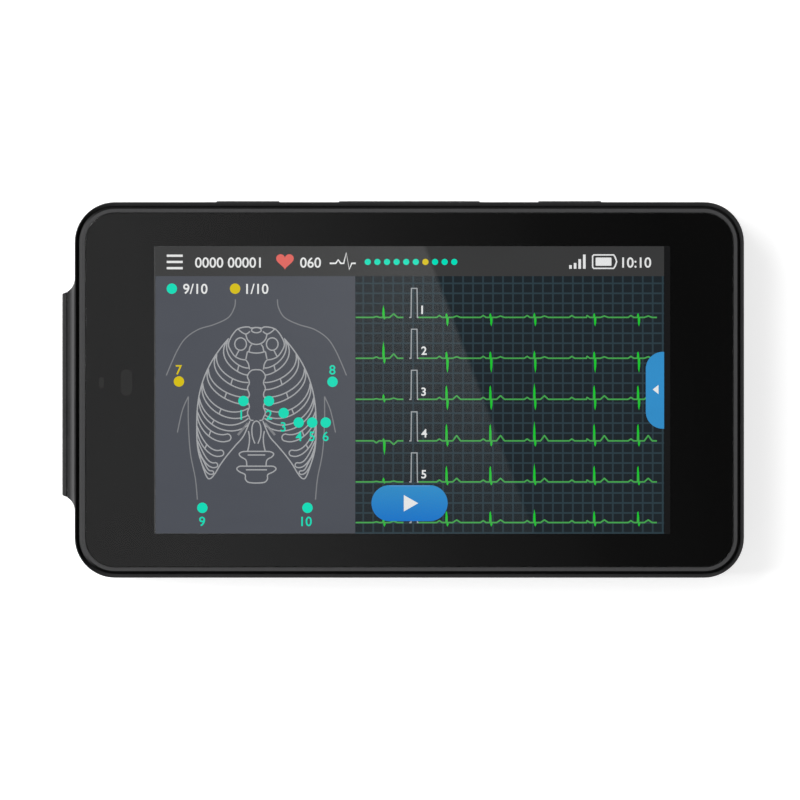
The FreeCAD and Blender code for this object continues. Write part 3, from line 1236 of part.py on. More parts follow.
def make_key(label, x, length, stop_gap, nubs):
    """A key whose flange stays behind the wall, with a nub over each dome."""
    body = new_body(label)
    face = f"({HALF_Y} + key_proud)"
    flange_face = f"({INNER_Y} - {stop_gap})"
    cap = new_sketch(body, "XZ_Plane", face)
    add_centred(cap, x, "key_level", length, "key_height", "key_corner_radius")
    key_cap = pad(body, cap, f"{face} - {flange_face}")
    level = size(face)
    round_edges(body, key_cap, "key_edge_radius", lambda edge: at_level(edge, 1, level))
    flange = new_sketch(body, "XZ_Plane", flange_face)
    add_centred(flange, x, "key_level", f"{length} + 2 * (key_gap + flange_lip)",
                "key_height + 2 * (key_gap + flange_lip)", "key_corner_radius")
    pad(body, flange, "key_flange")
    pins = new_sketch(body, "XZ_Plane", f"{flange_face} - key_flange")
    for nub in nubs:
        add_circle(pins, nub, "key_level", "nub_radius")
    pad(body, pins, f"{flange_face} - key_flange - {DOME_TOP} - dome_gap")
    keep(body, label)


def make_keys():
    make_key("power_key", "power_key_x", "short_key_length", "key_stop_gap", ["power_key_x"])
    make_key("volume_rocker", "0", "long_key_length", "rocker_stop_gap", ["-dome_x", "dome_x"])
    make_key("function_key", "function_key_x", "short_key_length", "key_stop_gap",
             ["function_key_x"])
    for label, x in (("power_dome", "power_key_x"), ("volume_down_dome", "-dome_x"),
                     ("volume_up_dome", "dome_x"), ("function_dome", "function_key_x")):
        dome = doc.addObject("Part::Cone", label)
        dome.setExpression("Radius1", bound("dome_radius"))
        dome.setExpression("Radius2", bound("dome_radius / 2"))
        dome.setExpression("Height", bound("dome_height"))
        keep(place_round(dome, "Y", x, FLEX_FACE, "key_level"), label)

    low = "(key_level - bracket_height / 2)"
    high = "(key_level + bracket_height / 2)"
    plate = box("bracket_plate", "-bracket_half_length", "bracket_half_length",
                f"{BRACKET_FACE} - bracket_thickness", BRACKET_FACE, low, high)
    rocker_back = f"({INNER_Y} - rocker_stop_gap - key_flange)"
    ridge = box("bracket_ridge", "-pivot_width / 2", "pivot_width / 2", BRACKET_FACE,
                f"{rocker_back} - pivot_gap", "key_level - key_height / 2",
                "key_level + key_height / 2")
    keep(fuse("key_bracket", [plate, ridge]), "key_bracket")
    sheet_of_flex = box("flex_sheet", "-bracket_half_length + flex_margin",
                        "bracket_half_length - flex_margin",
                        BRACKET_FACE, FLEX_FACE, f"{low} + flex_margin", f"{high} - flex_margin")
    ridge_slot = box("flex_slot", "-pivot_width / 2 - key_gap", "pivot_width / 2 + key_gap",
                     BRACKET_FACE, FLEX_FACE, "key_level - key_height / 2 - key_gap",
                     "key_level + key_height / 2 + key_gap")
    keep(cut("key_flex", sheet_of_flex, ridge_slot), "key_flex")


# Battery, speaker and the screws that close the case

def make_power_and_sound():
    left = "(battery_x - battery_length / 2)"
    right = "(battery_x + battery_length / 2)"
    under = "(floor_thickness + battery_tape_thickness)"
    keep(box("battery_tape", f"{left} + battery_tape_inset", f"{right} - battery_tape_inset",
             "-battery_width / 2 + battery_tape_inset", "battery_width / 2 - battery_tape_inset",
             "floor_thickness", under), "battery_tape")
    cell = new_body("battery_cell")
    outline = new_sketch(cell, "XY_Plane", under)
    add_rectangle(outline, left, right, "-battery_width / 2", "battery_width / 2",
                  "battery_radius")
    pad(cell, outline, f"{BOARD_UNDER} - battery_gap - {under}")
    keep(cell, "battery_cell")
    connector_under = f"({BOARD_UNDER} - connector_height)"
    far = f"({left} - battery_flex_length)"
    keep(box("battery_connector", far, f"{far} + connector_length",
             "-battery_flex_width / 2 - connector_margin",
             "battery_flex_width / 2 + connector_margin", connector_under, BOARD_UNDER),
         "battery_connector")
    keep(box("battery_flex", far, left, "-battery_flex_width / 2", "battery_flex_width / 2",
             f"{connector_under} - strip_thickness", connector_under), "battery_flex")

    keep(cylinder("speaker_mesh", "Z", "speaker_x", "0", "floor_thickness",
                  "speaker_radius - mesh_inset", "mesh_thickness"), "speaker_mesh")
    seat = "(floor_thickness + mesh_thickness)"
    keep(cylinder("speaker", "Z", "speaker_x", "0", seat, "speaker_radius", "speaker_height"),
         "speaker")
    springs = [cylinder(f"speaker_spring_{number}", "Z", "speaker_x", y,
                        f"{seat} + speaker_height", "speaker_spring_radius",
                        f"{BOARD_UNDER} - {seat} - speaker_height")
               for number, y in enumerate(("-speaker_spring_y", "speaker_spring_y"))]
    keep(group("speaker_contacts", springs), "speaker_contacts")


def make_closing_screws():
    screws = []
    inserts = []
    for number, (x, y) in enumerate(CORNERS):
        place = (x + CORNER_X, y + CORNER_Y)
        head = cylinder(f"head_{number}", "Z", *place, "head_seat - head_height", "head_radius",
                        "head_height")
        shank = cylinder(f"shank_{number}", "Z", *place, "head_seat", "screw_radius",
                         "corner_boss_height + thread_engagement - head_seat")
        drive_hole = hexagon(f"drive_{number}", "Z", *place, "head_seat - head_height",
                             "key_socket", "head_height / 2")
        screws.append(cut(f"screw_{number}", fuse(f"screw_body_{number}", [head, shank]),
                          drive_hole))
        barrel = cylinder(f"insert_{number}", "Z", *place, "corner_boss_height", "insert_radius",
                          "insert_length")
        thread = cylinder(f"insert_thread_{number}", "Z", *place, "corner_boss_height",
                          "screw_radius", "insert_length")
        inserts.append(cut(f"thread_insert_{number}", barrel, thread))
    keep(group("housing_screws", screws), "housing_screws")
    keep(group("thread_inserts", inserts), "thread_inserts")


def check_and_write():
    """Refuse a failed object, a feature that changed nothing or a bad shape, then write."""
    doc.recompute()
    for thing in doc.Objects:
        if "Invalid" in thing.State or "Error" in thing.State:
            raise RuntimeError(f"{thing.Label} failed: {thing.State}")
        before = getattr(thing, "BaseFeature", None)
        if thing.TypeId in ("PartDesign::Pad", "PartDesign::Pocket") and before is not None:
            change = thing.Shape.Volume - before.Shape.Volume
            expected = 1 if thing.TypeId == "PartDesign::Pad" else -1
            if change * expected < 1e-6:
                raise RuntimeError(f"{thing.Label} changed nothing")
    for thing in sub_parts:
        if thing.Shape.isNull() or not thing.Shape.isValid() or not thing.Shape.Solids:
            raise RuntimeError(f"{thing.Label} has no valid solid")
    os.makedirs("parts", exist_ok=True)
    for thing in sub_parts:
        thing.Shape.exportStep(f"parts/{thing.Label}.step")
        print(f"{thing.Label}: {len(thing.Shape.Solids)} solids, {thing.Shape.Volume:.1f} mm3")


make_rear_housing()
make_socket_surround()
make_front_bezel()
make_glass()
make_screen()
make_sensors()
make_flexes()
make_board()
make_electronics()
make_usb()
make_socket()
make_keys()
make_power_and_sound()
make_closing_screws()
check_and_write()
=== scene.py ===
"""Home ECG monitor: finishes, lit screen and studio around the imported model.

Every length is in metres and every place is in the part's own frame: the origin is the middle of
the flat back, +X runs to the right of the screen, +Y to its top and +Z out of the glass.
"""

import logging
import math
from dataclasses import dataclass, field
from enum import Enum
from typing import Iterable, Sequence

import bmesh
import bpy
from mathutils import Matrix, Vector


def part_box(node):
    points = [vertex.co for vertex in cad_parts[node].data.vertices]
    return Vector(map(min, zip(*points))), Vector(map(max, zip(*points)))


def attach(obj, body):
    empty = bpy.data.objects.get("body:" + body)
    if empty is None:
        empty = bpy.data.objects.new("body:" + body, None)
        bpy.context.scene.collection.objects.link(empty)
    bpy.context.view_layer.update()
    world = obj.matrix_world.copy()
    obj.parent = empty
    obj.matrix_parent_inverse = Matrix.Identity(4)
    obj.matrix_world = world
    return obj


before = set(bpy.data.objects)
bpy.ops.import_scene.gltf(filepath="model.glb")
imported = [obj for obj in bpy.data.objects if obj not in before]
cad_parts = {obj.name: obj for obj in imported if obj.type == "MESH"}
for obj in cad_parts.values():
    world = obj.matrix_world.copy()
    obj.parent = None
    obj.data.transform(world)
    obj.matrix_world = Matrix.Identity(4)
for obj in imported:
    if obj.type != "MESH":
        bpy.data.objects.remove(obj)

LOG = logging.getLogger("ecg_monitor")
MM = 0.001
BODY = "case"
Point = tuple[float, float]
Colour = tuple[float, float, float]
Node, Socket = bpy.types.Node, bpy.types.NodeSocket
Mesh, Piece = bpy.types.Mesh, bpy.types.Object


def linear(red: float, green: float, blue: float) -> Colour:
    """Turns a colour of 0 to 255 a channel into linear light from 0 to 1.

    Args:
        red: The red channel.
        green: The green channel.
        blue: The blue channel.

    Returns:
        The three channels as linear light.
    """
    parts = [value / 255.0 for value in (red, green, blue)]
    return tuple(part / 12.92 if part <= 0.04045 else ((part + 0.055) / 1.055) ** 2.4
                 for part in parts)


def scaled(colour: Colour, factor: float) -> Colour:
    """Returns a colour made lighter or darker, and no lighter than white."""
    return tuple(min(1.0, part * factor) for part in colour)


class Nodes:
    """A node tree being made."""

    def __init__(self, tree: bpy.types.NodeTree) -> None:
        """Starts with a tree that exists."""
        self.tree = tree

    def feed(self, target: Socket, value: object) -> None:
        """Gives a socket a link or a plain value; a colour needs no fourth number."""
        if isinstance(value, Socket):
            self.tree.links.new(value, target)
        else:
            target.default_value = (*value, 1.0) if target.type == "RGBA" else value

    def fill(self, node: Node, inputs: dict[str, object]) -> None:
        """Feeds a node's inputs by name, with underscores for spaces."""
        for key, value in inputs.items():
            self.feed(node.inputs[key.replace("_", " ")], value)

    def add(self, kind: str, settings: dict[str, object] | None = None,
            values: Sequence[object] = (), **inputs: object) -> Node:
        """Adds a node.

        Args:
            kind: The node's Blender type.
            settings: Properties of the node by name.
            values: Its first inputs in order.
            **inputs: Other inputs by name, with underscores for spaces.

        Returns:
            The new node.
        """
        node = self.tree.nodes.new(kind)
        for key, value in (settings or {}).items():
            setattr(node, key, value)
        for socket, value in zip(node.inputs, values):
            self.feed(socket, value)
        self.fill(node, inputs)
        return node

    def math(self, operation: str, *values: object) -> Socket:
        """Returns the result of a Math node on numbers or sockets."""
        return self.add("ShaderNodeMath", {"operation": operation}, values).outputs[0]

    def axis(self, source: Socket, name: str) -> Socket:
        """Returns one component of a vector: X, Y or Z."""
        return self.add("ShaderNodeSeparateXYZ", values=(source,)).outputs[name]


# ------------------------------------------------------------------------------- materials


class Shade(Nodes):
    """A material being made: one Principled shader and the nodes that feed it."""

    def __init__(self, name: str) -> None:
        """Starts an empty material of that name."""
        self.material = bpy.data.materials.new(name)
        self.material.use_nodes = True
        super().__init__(self.material.node_tree)
        self.shader = self.tree.nodes["Principled BSDF"]
        self.place = self.add("ShaderNodeTexCoord").outputs["Object"]

    def set(self, **values: object) -> None:
        """Sets the shader's own inputs; underscores stand for spaces in their names."""
        self.fill(self.shader, values)

    def show(self, surface: Node) -> None:
        """Makes another shader the one that the material shows."""
        self.feed(self.tree.nodes["Material Output"].inputs["Surface"], surface.outputs[0])

    def mapped(self, scale: Sequence[float] = (1, 1, 1), turn: float = 0.0,
               shift: Sequence[float] = (0, 0, 0)) -> Socket:
        """Returns object coordinates that are scaled, turned about Z and shifted.

        Args:
            scale: The factor along each axis.
            turn: The turn about Z in radians.
            shift: The shift added along each axis.

        Returns:
            The mapped vector.
        """
        return self.add("ShaderNodeMapping", Vector=self.place, Scale=scale,
                        Rotation=(0.0, 0.0, turn), Location=shift).outputs["Vector"]

    def noise(self, size: float, detail: float = 2.0, stretch: Sequence[float] = (1, 1, 1),
              turn: float = 0.0) -> Socket:
        """Returns a noise pattern.

        Args:
            size: About how large one blotch is, in metres.
            detail: How many finer layers are added.
            stretch: The factor on each axis; a small one draws the pattern out along it.
            turn: The turn about Z in radians.

        Returns:
            The noise from 0 to 1.
        """
        return self.add("ShaderNodeTexNoise", Vector=self.mapped(stretch, turn),
                        Scale=1.0 / size, Detail=detail).outputs["Fac"]

    def cells(self, size: float) -> Socket:
        """Returns a pattern of cells, as the distance from each cell's middle."""
        return self.add("ShaderNodeTexVoronoi", Vector=self.mapped(),
                        Scale=1.0 / size).outputs["Distance"]

    def bands(self, pitch: float, direction: str) -> Socket:
        """Returns even bands across X, Y or Z, as a sine from 0 to 1 with that pitch."""
        return self.add("ShaderNodeTexWave", {"bands_direction": direction}, Vector=self.place,
                        Scale=math.pi / 10.0 / pitch).outputs["Fac"]

    def spread(self, source: Socket, start: float = 0.0, end: float = 1.0, low: float = 0.0,
               high: float = 1.0) -> Socket:
        """Returns a pattern stretched from one range to another.

        Args:
            source: The pattern.
            start: The pattern's lower bound.
            end: The pattern's upper bound.
            low: The result where the pattern is at start.
            high: The result where it is at end.

        Returns:
            The clamped result.
        """
        return self.add("ShaderNodeMapRange", Value=source, From_Min=start, From_Max=end,
                        To_Min=low, To_Max=high).outputs["Result"]

    def ramp(self, source: Socket, stops: Sequence[Point]) -> Socket:
        """Returns levels read off straight lines between stops.

        Args:
            source: The number to look up.
            stops: Each stop's place and level, in rising places.

        Returns:
            The level.
        """
        first, last = stops[0][0], stops[-1][0]
        node = self.add("ShaderNodeValToRGB", Fac=self.spread(source, first, last))
        points = node.color_ramp.elements
        for k, (place, level) in enumerate(stops):
            share = (place - first) / (last - first)
            point = points[0 if k == 0 else -1] if k in (0, len(stops) - 1) else points.new(share)
            point.position, point.color = share, (level, level, level, 1.0)
        return node.outputs["Color"]

    def blend(self, factor: object, first: object, second: object) -> Socket:
        """Returns a mix of two colours.

        Args:
            factor: How much of the second one shows.
            first: A colour or socket.
            second: A colour or socket.

        Returns:
            The mixed colour.
        """
        node = self.add("ShaderNodeMix", {"data_type": "RGBA"}, (factor,))
        for socket, value in zip(node.inputs[6:8], (first, second)):
            self.feed(socket, value)
        return node.outputs[2]

    def relief(self, height: Socket, depth: float, strength: float = 1.0,
               under: object = (0.0, 0.0, 0.0)) -> Socket:
        """Returns a bumped normal.

        Args:
            height: The pattern that gives the height.
            depth: The height in metres where the pattern is 1.
            strength: How much of the bump counts.
            under: A bumped normal that this one lies on, or zeros for the plain surface.

        Returns:
            The normal.
        """
        return self.add("ShaderNodeBump", Height=height, Distance=depth, Strength=strength,
                        Normal=under).outputs["Normal"]

    def edges(self, radius: float) -> Socket:
        """Returns how near a sharp edge is, from 0 on a flat to 1 on the edge."""
        sharp, flat = 0.72, 0.985
        normals = [self.add("ShaderNodeBevel", {"samples": 4}, Radius=radius).outputs["Normal"],
                   self.add("ShaderNodeNewGeometry").outputs["Normal"]]
        dot = self.add("ShaderNodeVectorMath", {"operation": "DOT_PRODUCT"}, normals)
        return self.spread(dot.outputs["Value"], sharp, flat, 1.0, 0.0)

    def facing(self, name: str) -> Socket:
        """Returns how squarely a face looks along an axis: X, Y or Z."""
        return self.axis(self.add("ShaderNodeNewGeometry").outputs["Normal"], name)


MADE: dict[str, bpy.types.Material] = {}


@dataclass(frozen=True)
class Finish:
    """A surface finish that is made into one material, which all pieces of the finish share."""

    name: str

    def paint(self, shade: Shade) -> None:
        """Sets the inputs of the material's shader."""
        raise NotImplementedError

    def get(self) -> bpy.types.Material:
        """Returns the finish's material and makes it the first time."""
        if self.name not in MADE:
            shade = Shade(self.name)
            self.paint(shade)
            MADE[self.name] = shade.material
        return MADE[self.name]


@dataclass(frozen=True)
class MouldedPlastic(Finish):
    """Moulded plastic with a spark-erosion grain, a slow change of gloss and rubbed edges.

    Attributes:
        colour: The plastic's colour.
        roughness: The mean roughness.
        grain: The size of one grain of the texture.
        depth: The depth of the grain.
        rub: The colour of the rubbed edges.
        rub_share: How much of the edge is rubbed.
        specular: The specular level.
    """

    colour: Colour
    roughness: float = 0.5
    grain: float = 0.3 * MM
    depth: float = 0.03 * MM
    rub: Colour = (0.07, 0.07, 0.072)
    rub_share: float = 0.4
    specular: float = 0.16

    def paint(self, shade: Shade) -> None:
        """Sets the inputs of the material's shader."""
        handled = shade.noise(9 * MM, 3.0)
        patchy = shade.math("MULTIPLY", shade.edges(0.22 * MM),
                            shade.spread(shade.noise(1.3 * MM, 4.0), 0.42, 0.62))
        speckle = shade.math("ADD", shade.spread(handled, 0.35, 0.65, 0.0, 0.5),
                             shade.spread(shade.noise(0.45 * MM), 0.4, 0.6, 0.0, 0.5))
        body = shade.blend(speckle, self.colour, scaled(self.colour, 1.5))
        shade.set(Base_Color=shade.blend(shade.math("MULTIPLY", patchy, self.rub_share),
                                         self.tone(shade, body), self.rub),
                  Roughness=shade.spread(handled, low=self.roughness - 0.06,
                                         high=self.roughness + 0.06),
                  Specular_IOR_Level=self.specular,
                  Normal=shade.relief(shade.noise(self.grain, 3.0), self.depth,
                                      under=shade.relief(shade.noise(14 * MM, 1.0), 0.05 * MM)))

    def tone(self, shade: Shade, body: Socket) -> Socket:
        """Returns the plastic's colour, which a finish of its own may change by place."""
        return body


@dataclass(frozen=True)
class HousingPlastic(MouldedPlastic):
    """The rear housing's plastic, with painted light and shade on the slopes of its lip and boss.

    Attributes:
        eroded: A painted light: the colour of slopes facing -X, on the lip opposite the socket and
            on its boss.
        polished: A painted shade: the colour of slopes facing +X, as the lip's slope on the
            socket's side.
        lip: Where the lip's outer face on the socket's side lies along X.
        middle: How far either side of the middle the slopes change from one kind to the other.
        share: How much of the painted light the inward-facing slopes along the two long sides have.
    """

    eroded: Colour = (0.06, 0.06, 0.061)
    polished: Colour = (0.003, 0.003, 0.003)
    lip: float = -72.7 * MM
    middle: float = 10 * MM
    share: float = 0.4

    def tone(self, shade: Shade, body: Socket) -> Socket:
        """Returns the body colour with painted light and painted shade on its slopes, by the way
        they face.
        """
        # Painted light on slopes facing -X and on the long sides' inward slopes, painted shade on
        # those facing +X.
        across, place = shade.facing("X"), shade.axis(shade.place, "X")
        sloped = shade.spread(shade.facing("Z"), 0.3, 0.5)
        apart = shade.math("MAXIMUM", shade.spread(place, -self.middle, self.middle),
                           shade.spread(place, self.lip - 0.1 * MM, self.lip, 1.0, 0.0))
        left = shade.math("MULTIPLY", shade.spread(across, -0.3, -0.75), apart)
        inward = shade.math("MULTIPLY", shade.facing("Y"),
                            shade.math("SIGN", shade.axis(shade.place, "Y")))
        left = shade.math("MAXIMUM", left, shade.spread(inward, -0.3, -0.7, 0.0, self.share))
        for side, colour in ((left, self.eroded), (shade.spread(across, 0.3, 0.7), self.polished)):
            body = shade.blend(shade.math("MULTIPLY", sloped, side), body, colour)
        return body


@dataclass(frozen=True)
class BezelPlastic(Finish):
    """The front frame's plastic: a rough flat round the glass and glossy slopes, with painted light
    and shade.

    Attributes:
        flat: The colour of the textured flat, painted lighter than the slopes as lit from above.
        slope: The colour of the glossy slopes, painted dark as shade.
        upper: The colour of the slope beside the keys, painted lighter than the other slopes.
        rubbed: The colour of the rubbed edges.
        share: How much of the flat's painted light the slope on the socket's side has.
    """

    flat: Colour = (0.047, 0.047, 0.048)
    slope: Colour = (0.0035, 0.0035, 0.0035)
    upper: Colour = (0.0105, 0.0105, 0.0107)
    rubbed: Colour = (0.1, 0.1, 0.1)
    share: float = 0.58

    def paint(self, shade: Shade) -> None:
        """Sets the inputs of the material's shader."""
        # eroded: painted light on the flat and on the slope facing the socket; it also makes them
        # rougher.
        eroded = shade.math("MAXIMUM", shade.spread(shade.facing("Z"), 0.93, 0.985),
                            shade.spread(shade.facing("X"), -0.5, -0.8, 0.0, self.share))
        flat = shade.blend(shade.spread(shade.noise(0.35 * MM, 4.0), 0.3, 0.7),
                           self.flat, scaled(self.flat, 1.25))
        rub = shade.math("MULTIPLY", shade.edges(0.12 * MM),
                         shade.spread(shade.noise(2.1 * MM, 3.0), 0.5, 0.64, 0.0, 0.22))
        # polished: the slopes' painted shade, less dark on the slope beside the keys.
        polished = shade.blend(shade.spread(shade.facing("Y"), 0.3, 0.7), self.slope, self.upper)
        shade.set(Base_Color=shade.blend(rub, shade.blend(eroded, polished, flat), self.rubbed),
                  Roughness=shade.spread(eroded, low=0.3, high=0.62), Specular_IOR_Level=0.07,
                  Normal=shade.relief(shade.noise(0.2 * MM, 3.0), 0.012 * MM, 0.8))


@dataclass(frozen=True)
class CoverGlass(Finish):
    """Clear strengthened glass, wiped unevenly so that it dims what is behind it a little.

    Attributes:
        tint: The colour of light that has gone through.
        smear: The same where the glass isn't wiped clean.
        roughness: Its roughness, low enough for a true mirror.
    """

    tint: Colour = (0.985, 0.995, 0.99)
    smear: Colour = (0.955, 0.963, 0.96)
    roughness: float = 0.002

    def paint(self, shade: Shade) -> None:
        """Sets the inputs of the material's shader."""
        wiped = shade.spread(shade.noise(16 * MM, 4.0, (1.0, 3.0, 1.0), 0.5), 0.5, 0.75)
        shade.set(Base_Color=shade.blend(wiped, self.tint, self.smear), IOR=1.5,
                  Transmission_Weight=1.0, Roughness=self.roughness)


@dataclass(frozen=True)
class Ink(Finish):
    """Screen-printed ink on the underside of the glass.

    Attributes:
        colour: The ink's colour.
        pinholes: How much lighter the thin places in the ink are.
        gloss: The specular level.
        roughness: The roughness of its sheen.
        glow: How strongly the ink glows, a painted light that lightens it without a lamp.
    """

    colour: Colour = (0.008, 0.008, 0.0082)
    pinholes: float = 1.25
    gloss: float = 0.0
    roughness: float = 0.7
    glow: float = 0.0

    def paint(self, shade: Shade) -> None:
        """Sets the inputs of the material's shader."""
        thin = shade.spread(shade.noise(0.9 * MM, 5.0), 0.45, 0.75)
        # A glow above zero paints light into the ink, which emits though no lamp is behind it.
        shade.set(Base_Color=shade.blend(thin, self.colour, scaled(self.colour, self.pinholes)),
                  Roughness=self.roughness, Specular_IOR_Level=self.gloss,
                  Emission_Color=(1.0, 0.98, 0.97), Emission_Strength=self.glow,
                  Normal=shade.relief(shade.cells(0.28 * MM), 0.002 * MM, 0.4))


@dataclass(frozen=True)
class ScreenLight(Finish):
    """A lit area of the screen: emission with the faint raster of its pixels.

    Attributes:
        colour: The emitted colour as linear light.
        far: Its colour at the end of a gradient along Y, or where "lift" is 1, or None.
        start: Where the gradient starts along Y.
        end: Where it ends. Without a stretch the points' "lift" attribute gives the blend.
        pitch: The pitch of the screen's pixels.
    """

    colour: Colour
    far: Colour | None = None
    start: float = 0.0
    end: float = 0.0
    pitch: float = 0.0865 * MM

    def paint(self, shade: Shade) -> None:
        """Sets the inputs of the material's shader."""
        shade.material.cycles.emission_sampling = "NONE"
        raster = shade.math("MULTIPLY", *[shade.bands(self.pitch, name) for name in "XY"])
        slow = shade.spread(shade.noise(30 * MM, 1.0), 0.3, 0.7, 0.98, 1.02)
        level = shade.math("MULTIPLY", shade.spread(raster, low=0.955, high=1.045), slow)
        colour = self.colour
        if self.far is not None:
            if self.start != self.end:
                share = shade.spread(shade.axis(shade.place, "Y"), self.start, self.end)
            else:
                share = shade.add("ShaderNodeAttribute",
                                  {"attribute_name": "lift"}).outputs["Fac"]
            colour = shade.blend(share, self.colour, self.far)
        shown = shade.add("ShaderNodeVectorMath", {"operation": "SCALE"}, (colour,), Scale=level)
        shade.set(Base_Color=(0.0, 0.0, 0.0), Roughness=0.35, Specular_IOR_Level=0.0,
                  Emission_Color=shown.outputs["Vector"], Emission_Strength=1.0)


@dataclass(frozen=True)
class Metal(Finish):
    """Rolled, plated or cast metal with drawn scratches and a patchy gloss.

    Attributes:
        colour: The metal's colour.
        dull: The colour of its duller patches.
        roughness: The mean roughness.
        draw: How far the scratches are drawn out along X.
        depth: The depth of the scratches.
    """

    colour: Colour
    dull: Colour
    roughness: float = 0.3
    draw: float = 0.05
    depth: float = 0.004 * MM

    def paint(self, shade: Shade) -> None:
        """Sets the inputs of the material's shader."""
        drawn = shade.noise(0.12 * MM, 4.0, (self.draw, 1.0, 1.0), 0.12)
        patch = shade.noise(3.5 * MM, 4.0)
        base = shade.blend(shade.spread(patch, 0.38, 0.68), self.colour, self.dull)
        shade.set(Base_Color=shade.blend(shade.math("MULTIPLY", shade.edges(0.1 * MM), 0.5), base,
                                         scaled(self.colour, 1.15)), Metallic=1.0,
                  Roughness=shade.spread(patch, low=self.roughness - 0.07,
                                         high=self.roughness + 0.1),
                  Normal=shade.relief(drawn, self.depth, 0.7))


@dataclass(frozen=True)
class CircuitBoard(Finish):
    """A circuit board: solder mask over copper tracks, with bare plated pads.

    Attributes:
        mask: The solder mask's colour over bare laminate.
        over_copper: Its colour over a track.
        pad: The colour of the plated pads.
        block: The size of the blocks between the tracks.
        pad_pitch: About how far apart the pads are.
    """

    mask: Colour = (0.004, 0.035, 0.02)
    over_copper: Colour = (0.012, 0.085, 0.04)
    pad: Colour = (0.75, 0.52, 0.22)
    block: float = 1.6 * MM
    pad_pitch: float = 1.9 * MM

    def paint(self, shade: Shade) -> None:
        """Sets the inputs of the material's shader."""
        bricks = shade.add("ShaderNodeTexBrick", {"offset": 0.37, "squash": 1.8},
                           Vector=shade.mapped(turn=math.pi / 4), Scale=1.0 / self.block,
                           Mortar_Size=0.09)
        tracks = shade.spread(bricks.outputs["Fac"])
        pads = shade.spread(shade.cells(self.pad_pitch), 0.12, 0.15, 1.0, 0.0)
        mask = shade.blend(tracks, self.mask, self.over_copper)
        shade.set(Base_Color=shade.blend(pads, mask, self.pad), Metallic=pads,
                  Roughness=shade.spread(shade.noise(2 * MM, 3.0), low=0.25, high=0.42),
                  Normal=shade.relief(shade.math("MAXIMUM", tracks, pads), 0.03 * MM, 0.8))


@dataclass(frozen=True)
class FlexFilm(Finish):
    """A flexible circuit: amber film over bright copper lines.

    Attributes:
        film: The film's colour.
        copper: The colour where a line lies under it.
        pitch: The distance between lines.
    """

    film: Colour = (0.16, 0.055, 0.012)
    copper: Colour = (0.42, 0.19, 0.05)
    pitch: float = 0.5 * MM

    def paint(self, shade: Shade) -> None:
        """Sets the inputs of the material's shader."""
        lines = shade.spread(shade.bands(self.pitch, "Y"), 0.45, 0.6)
        shade.set(Base_Color=shade.blend(lines, self.film, self.copper), Coat_Weight=0.4,
                  Roughness=shade.spread(shade.noise(2.5 * MM, 3.0), low=0.22, high=0.4),
                  Normal=shade.relief(lines, 0.018 * MM, 0.8))


@dataclass(frozen=True)
class FoamTape(Finish):
    """Black double-sided foam tape with open cells on its cut face.

    Attributes:
        colour: The foam's colour.
        cell: The size of a cell.
    """

    colour: Colour = (0.012, 0.012, 0.013)
    cell: float = 0.18 * MM

    def paint(self, shade: Shade) -> None:
        """Sets the inputs of the material's shader."""
        cells = shade.cells(self.cell)
        shade.set(Base_Color=shade.blend(shade.spread(cells, 0.2, 0.8), self.colour,
                                         scaled(self.colour, 2.4)),
                  Roughness=0.85, Normal=shade.relief(cells, 0.05 * MM))


@dataclass(frozen=True)
class PouchFoil(Finish):
    """The crinkled metallised film round a battery cell.

    Attributes:
        colour: The film's colour.
        crease: The depth of its creases.
    """

    colour: Colour = (0.62, 0.62, 0.64)
    crease: float = 0.08 * MM

    def paint(self, shade: Shade) -> None:
        """Sets the inputs of the material's shader."""
        folds = shade.noise(5 * MM, 5.0, (1.0, 0.45, 1.0), 0.3)
        shade.set(Base_Color=shade.blend(shade.spread(folds, 0.35, 0.65), self.colour,
                                         scaled(self.colour, 0.8)),
                  Metallic=0.85, Roughness=shade.spread(folds, low=0.25, high=0.42),
                  Normal=shade.relief(folds, self.crease,
                                      under=shade.relief(shade.noise(0.3 * MM), 0.004 * MM)))


@dataclass(frozen=True)
class WovenMesh(Finish):
    """Fine woven mesh of black threads, as over a loudspeaker.

    Attributes:
        thread: The threads' colour.
        hole: The colour between them.
        pitch: The distance between threads.
    """

    thread: Colour = (0.03, 0.03, 0.032)
    hole: Colour = (0.002, 0.002, 0.002)
    pitch: float = 0.22 * MM

    def paint(self, shade: Shade) -> None:
        """Sets the inputs of the material's shader."""
        weave = shade.math("MAXIMUM", *[shade.bands(self.pitch, name) for name in "XY"])
        shade.set(Base_Color=shade.blend(shade.spread(weave, 0.45, 0.8), self.hole, self.thread),
                  Roughness=0.6, Sheen_Weight=0.25, Normal=shade.relief(weave, 0.05 * MM))


# ------------------------------------------------------------------------------ plain meshes


def placed(name: str, data: bpy.types.ID) -> Piece:
    """Puts a new object into the scene."""
    made = bpy.data.objects.new(name, data)
    bpy.context.scene.collection.objects.link(made)
    return made


def plain(source: Piece) -> Mesh:
    """Returns the plain mesh of a curve, or of an object with its modifiers."""
    graph = bpy.context.evaluated_depsgraph_get()
    return bpy.data.meshes.new_from_object(source.evaluated_get(graph), depsgraph=graph)


def new_mesh(name: str, places: Iterable[Sequence[float]], links: Sequence[Sequence[int]] = (),
             faces: Sequence[Sequence[int]] = ()) -> Mesh:
    """Makes a mesh.

    Args:
        name: The mesh's name.
        places: The places of its points.
        links: The two points of each loose edge.
        faces: The points of each face.

    Returns:
        The mesh.
    """
    mesh = bpy.data.meshes.new(name)
    mesh.from_pydata([tuple(place) for place in places], links, faces)
    return mesh


def outward(mesh: Mesh) -> None:
    """Turns every face of a closed mesh outwards."""
    work = bmesh.new()
    work.from_mesh(mesh)
    bmesh.ops.recalc_face_normals(work, faces=work.faces)
    work.to_mesh(mesh)
    work.free()


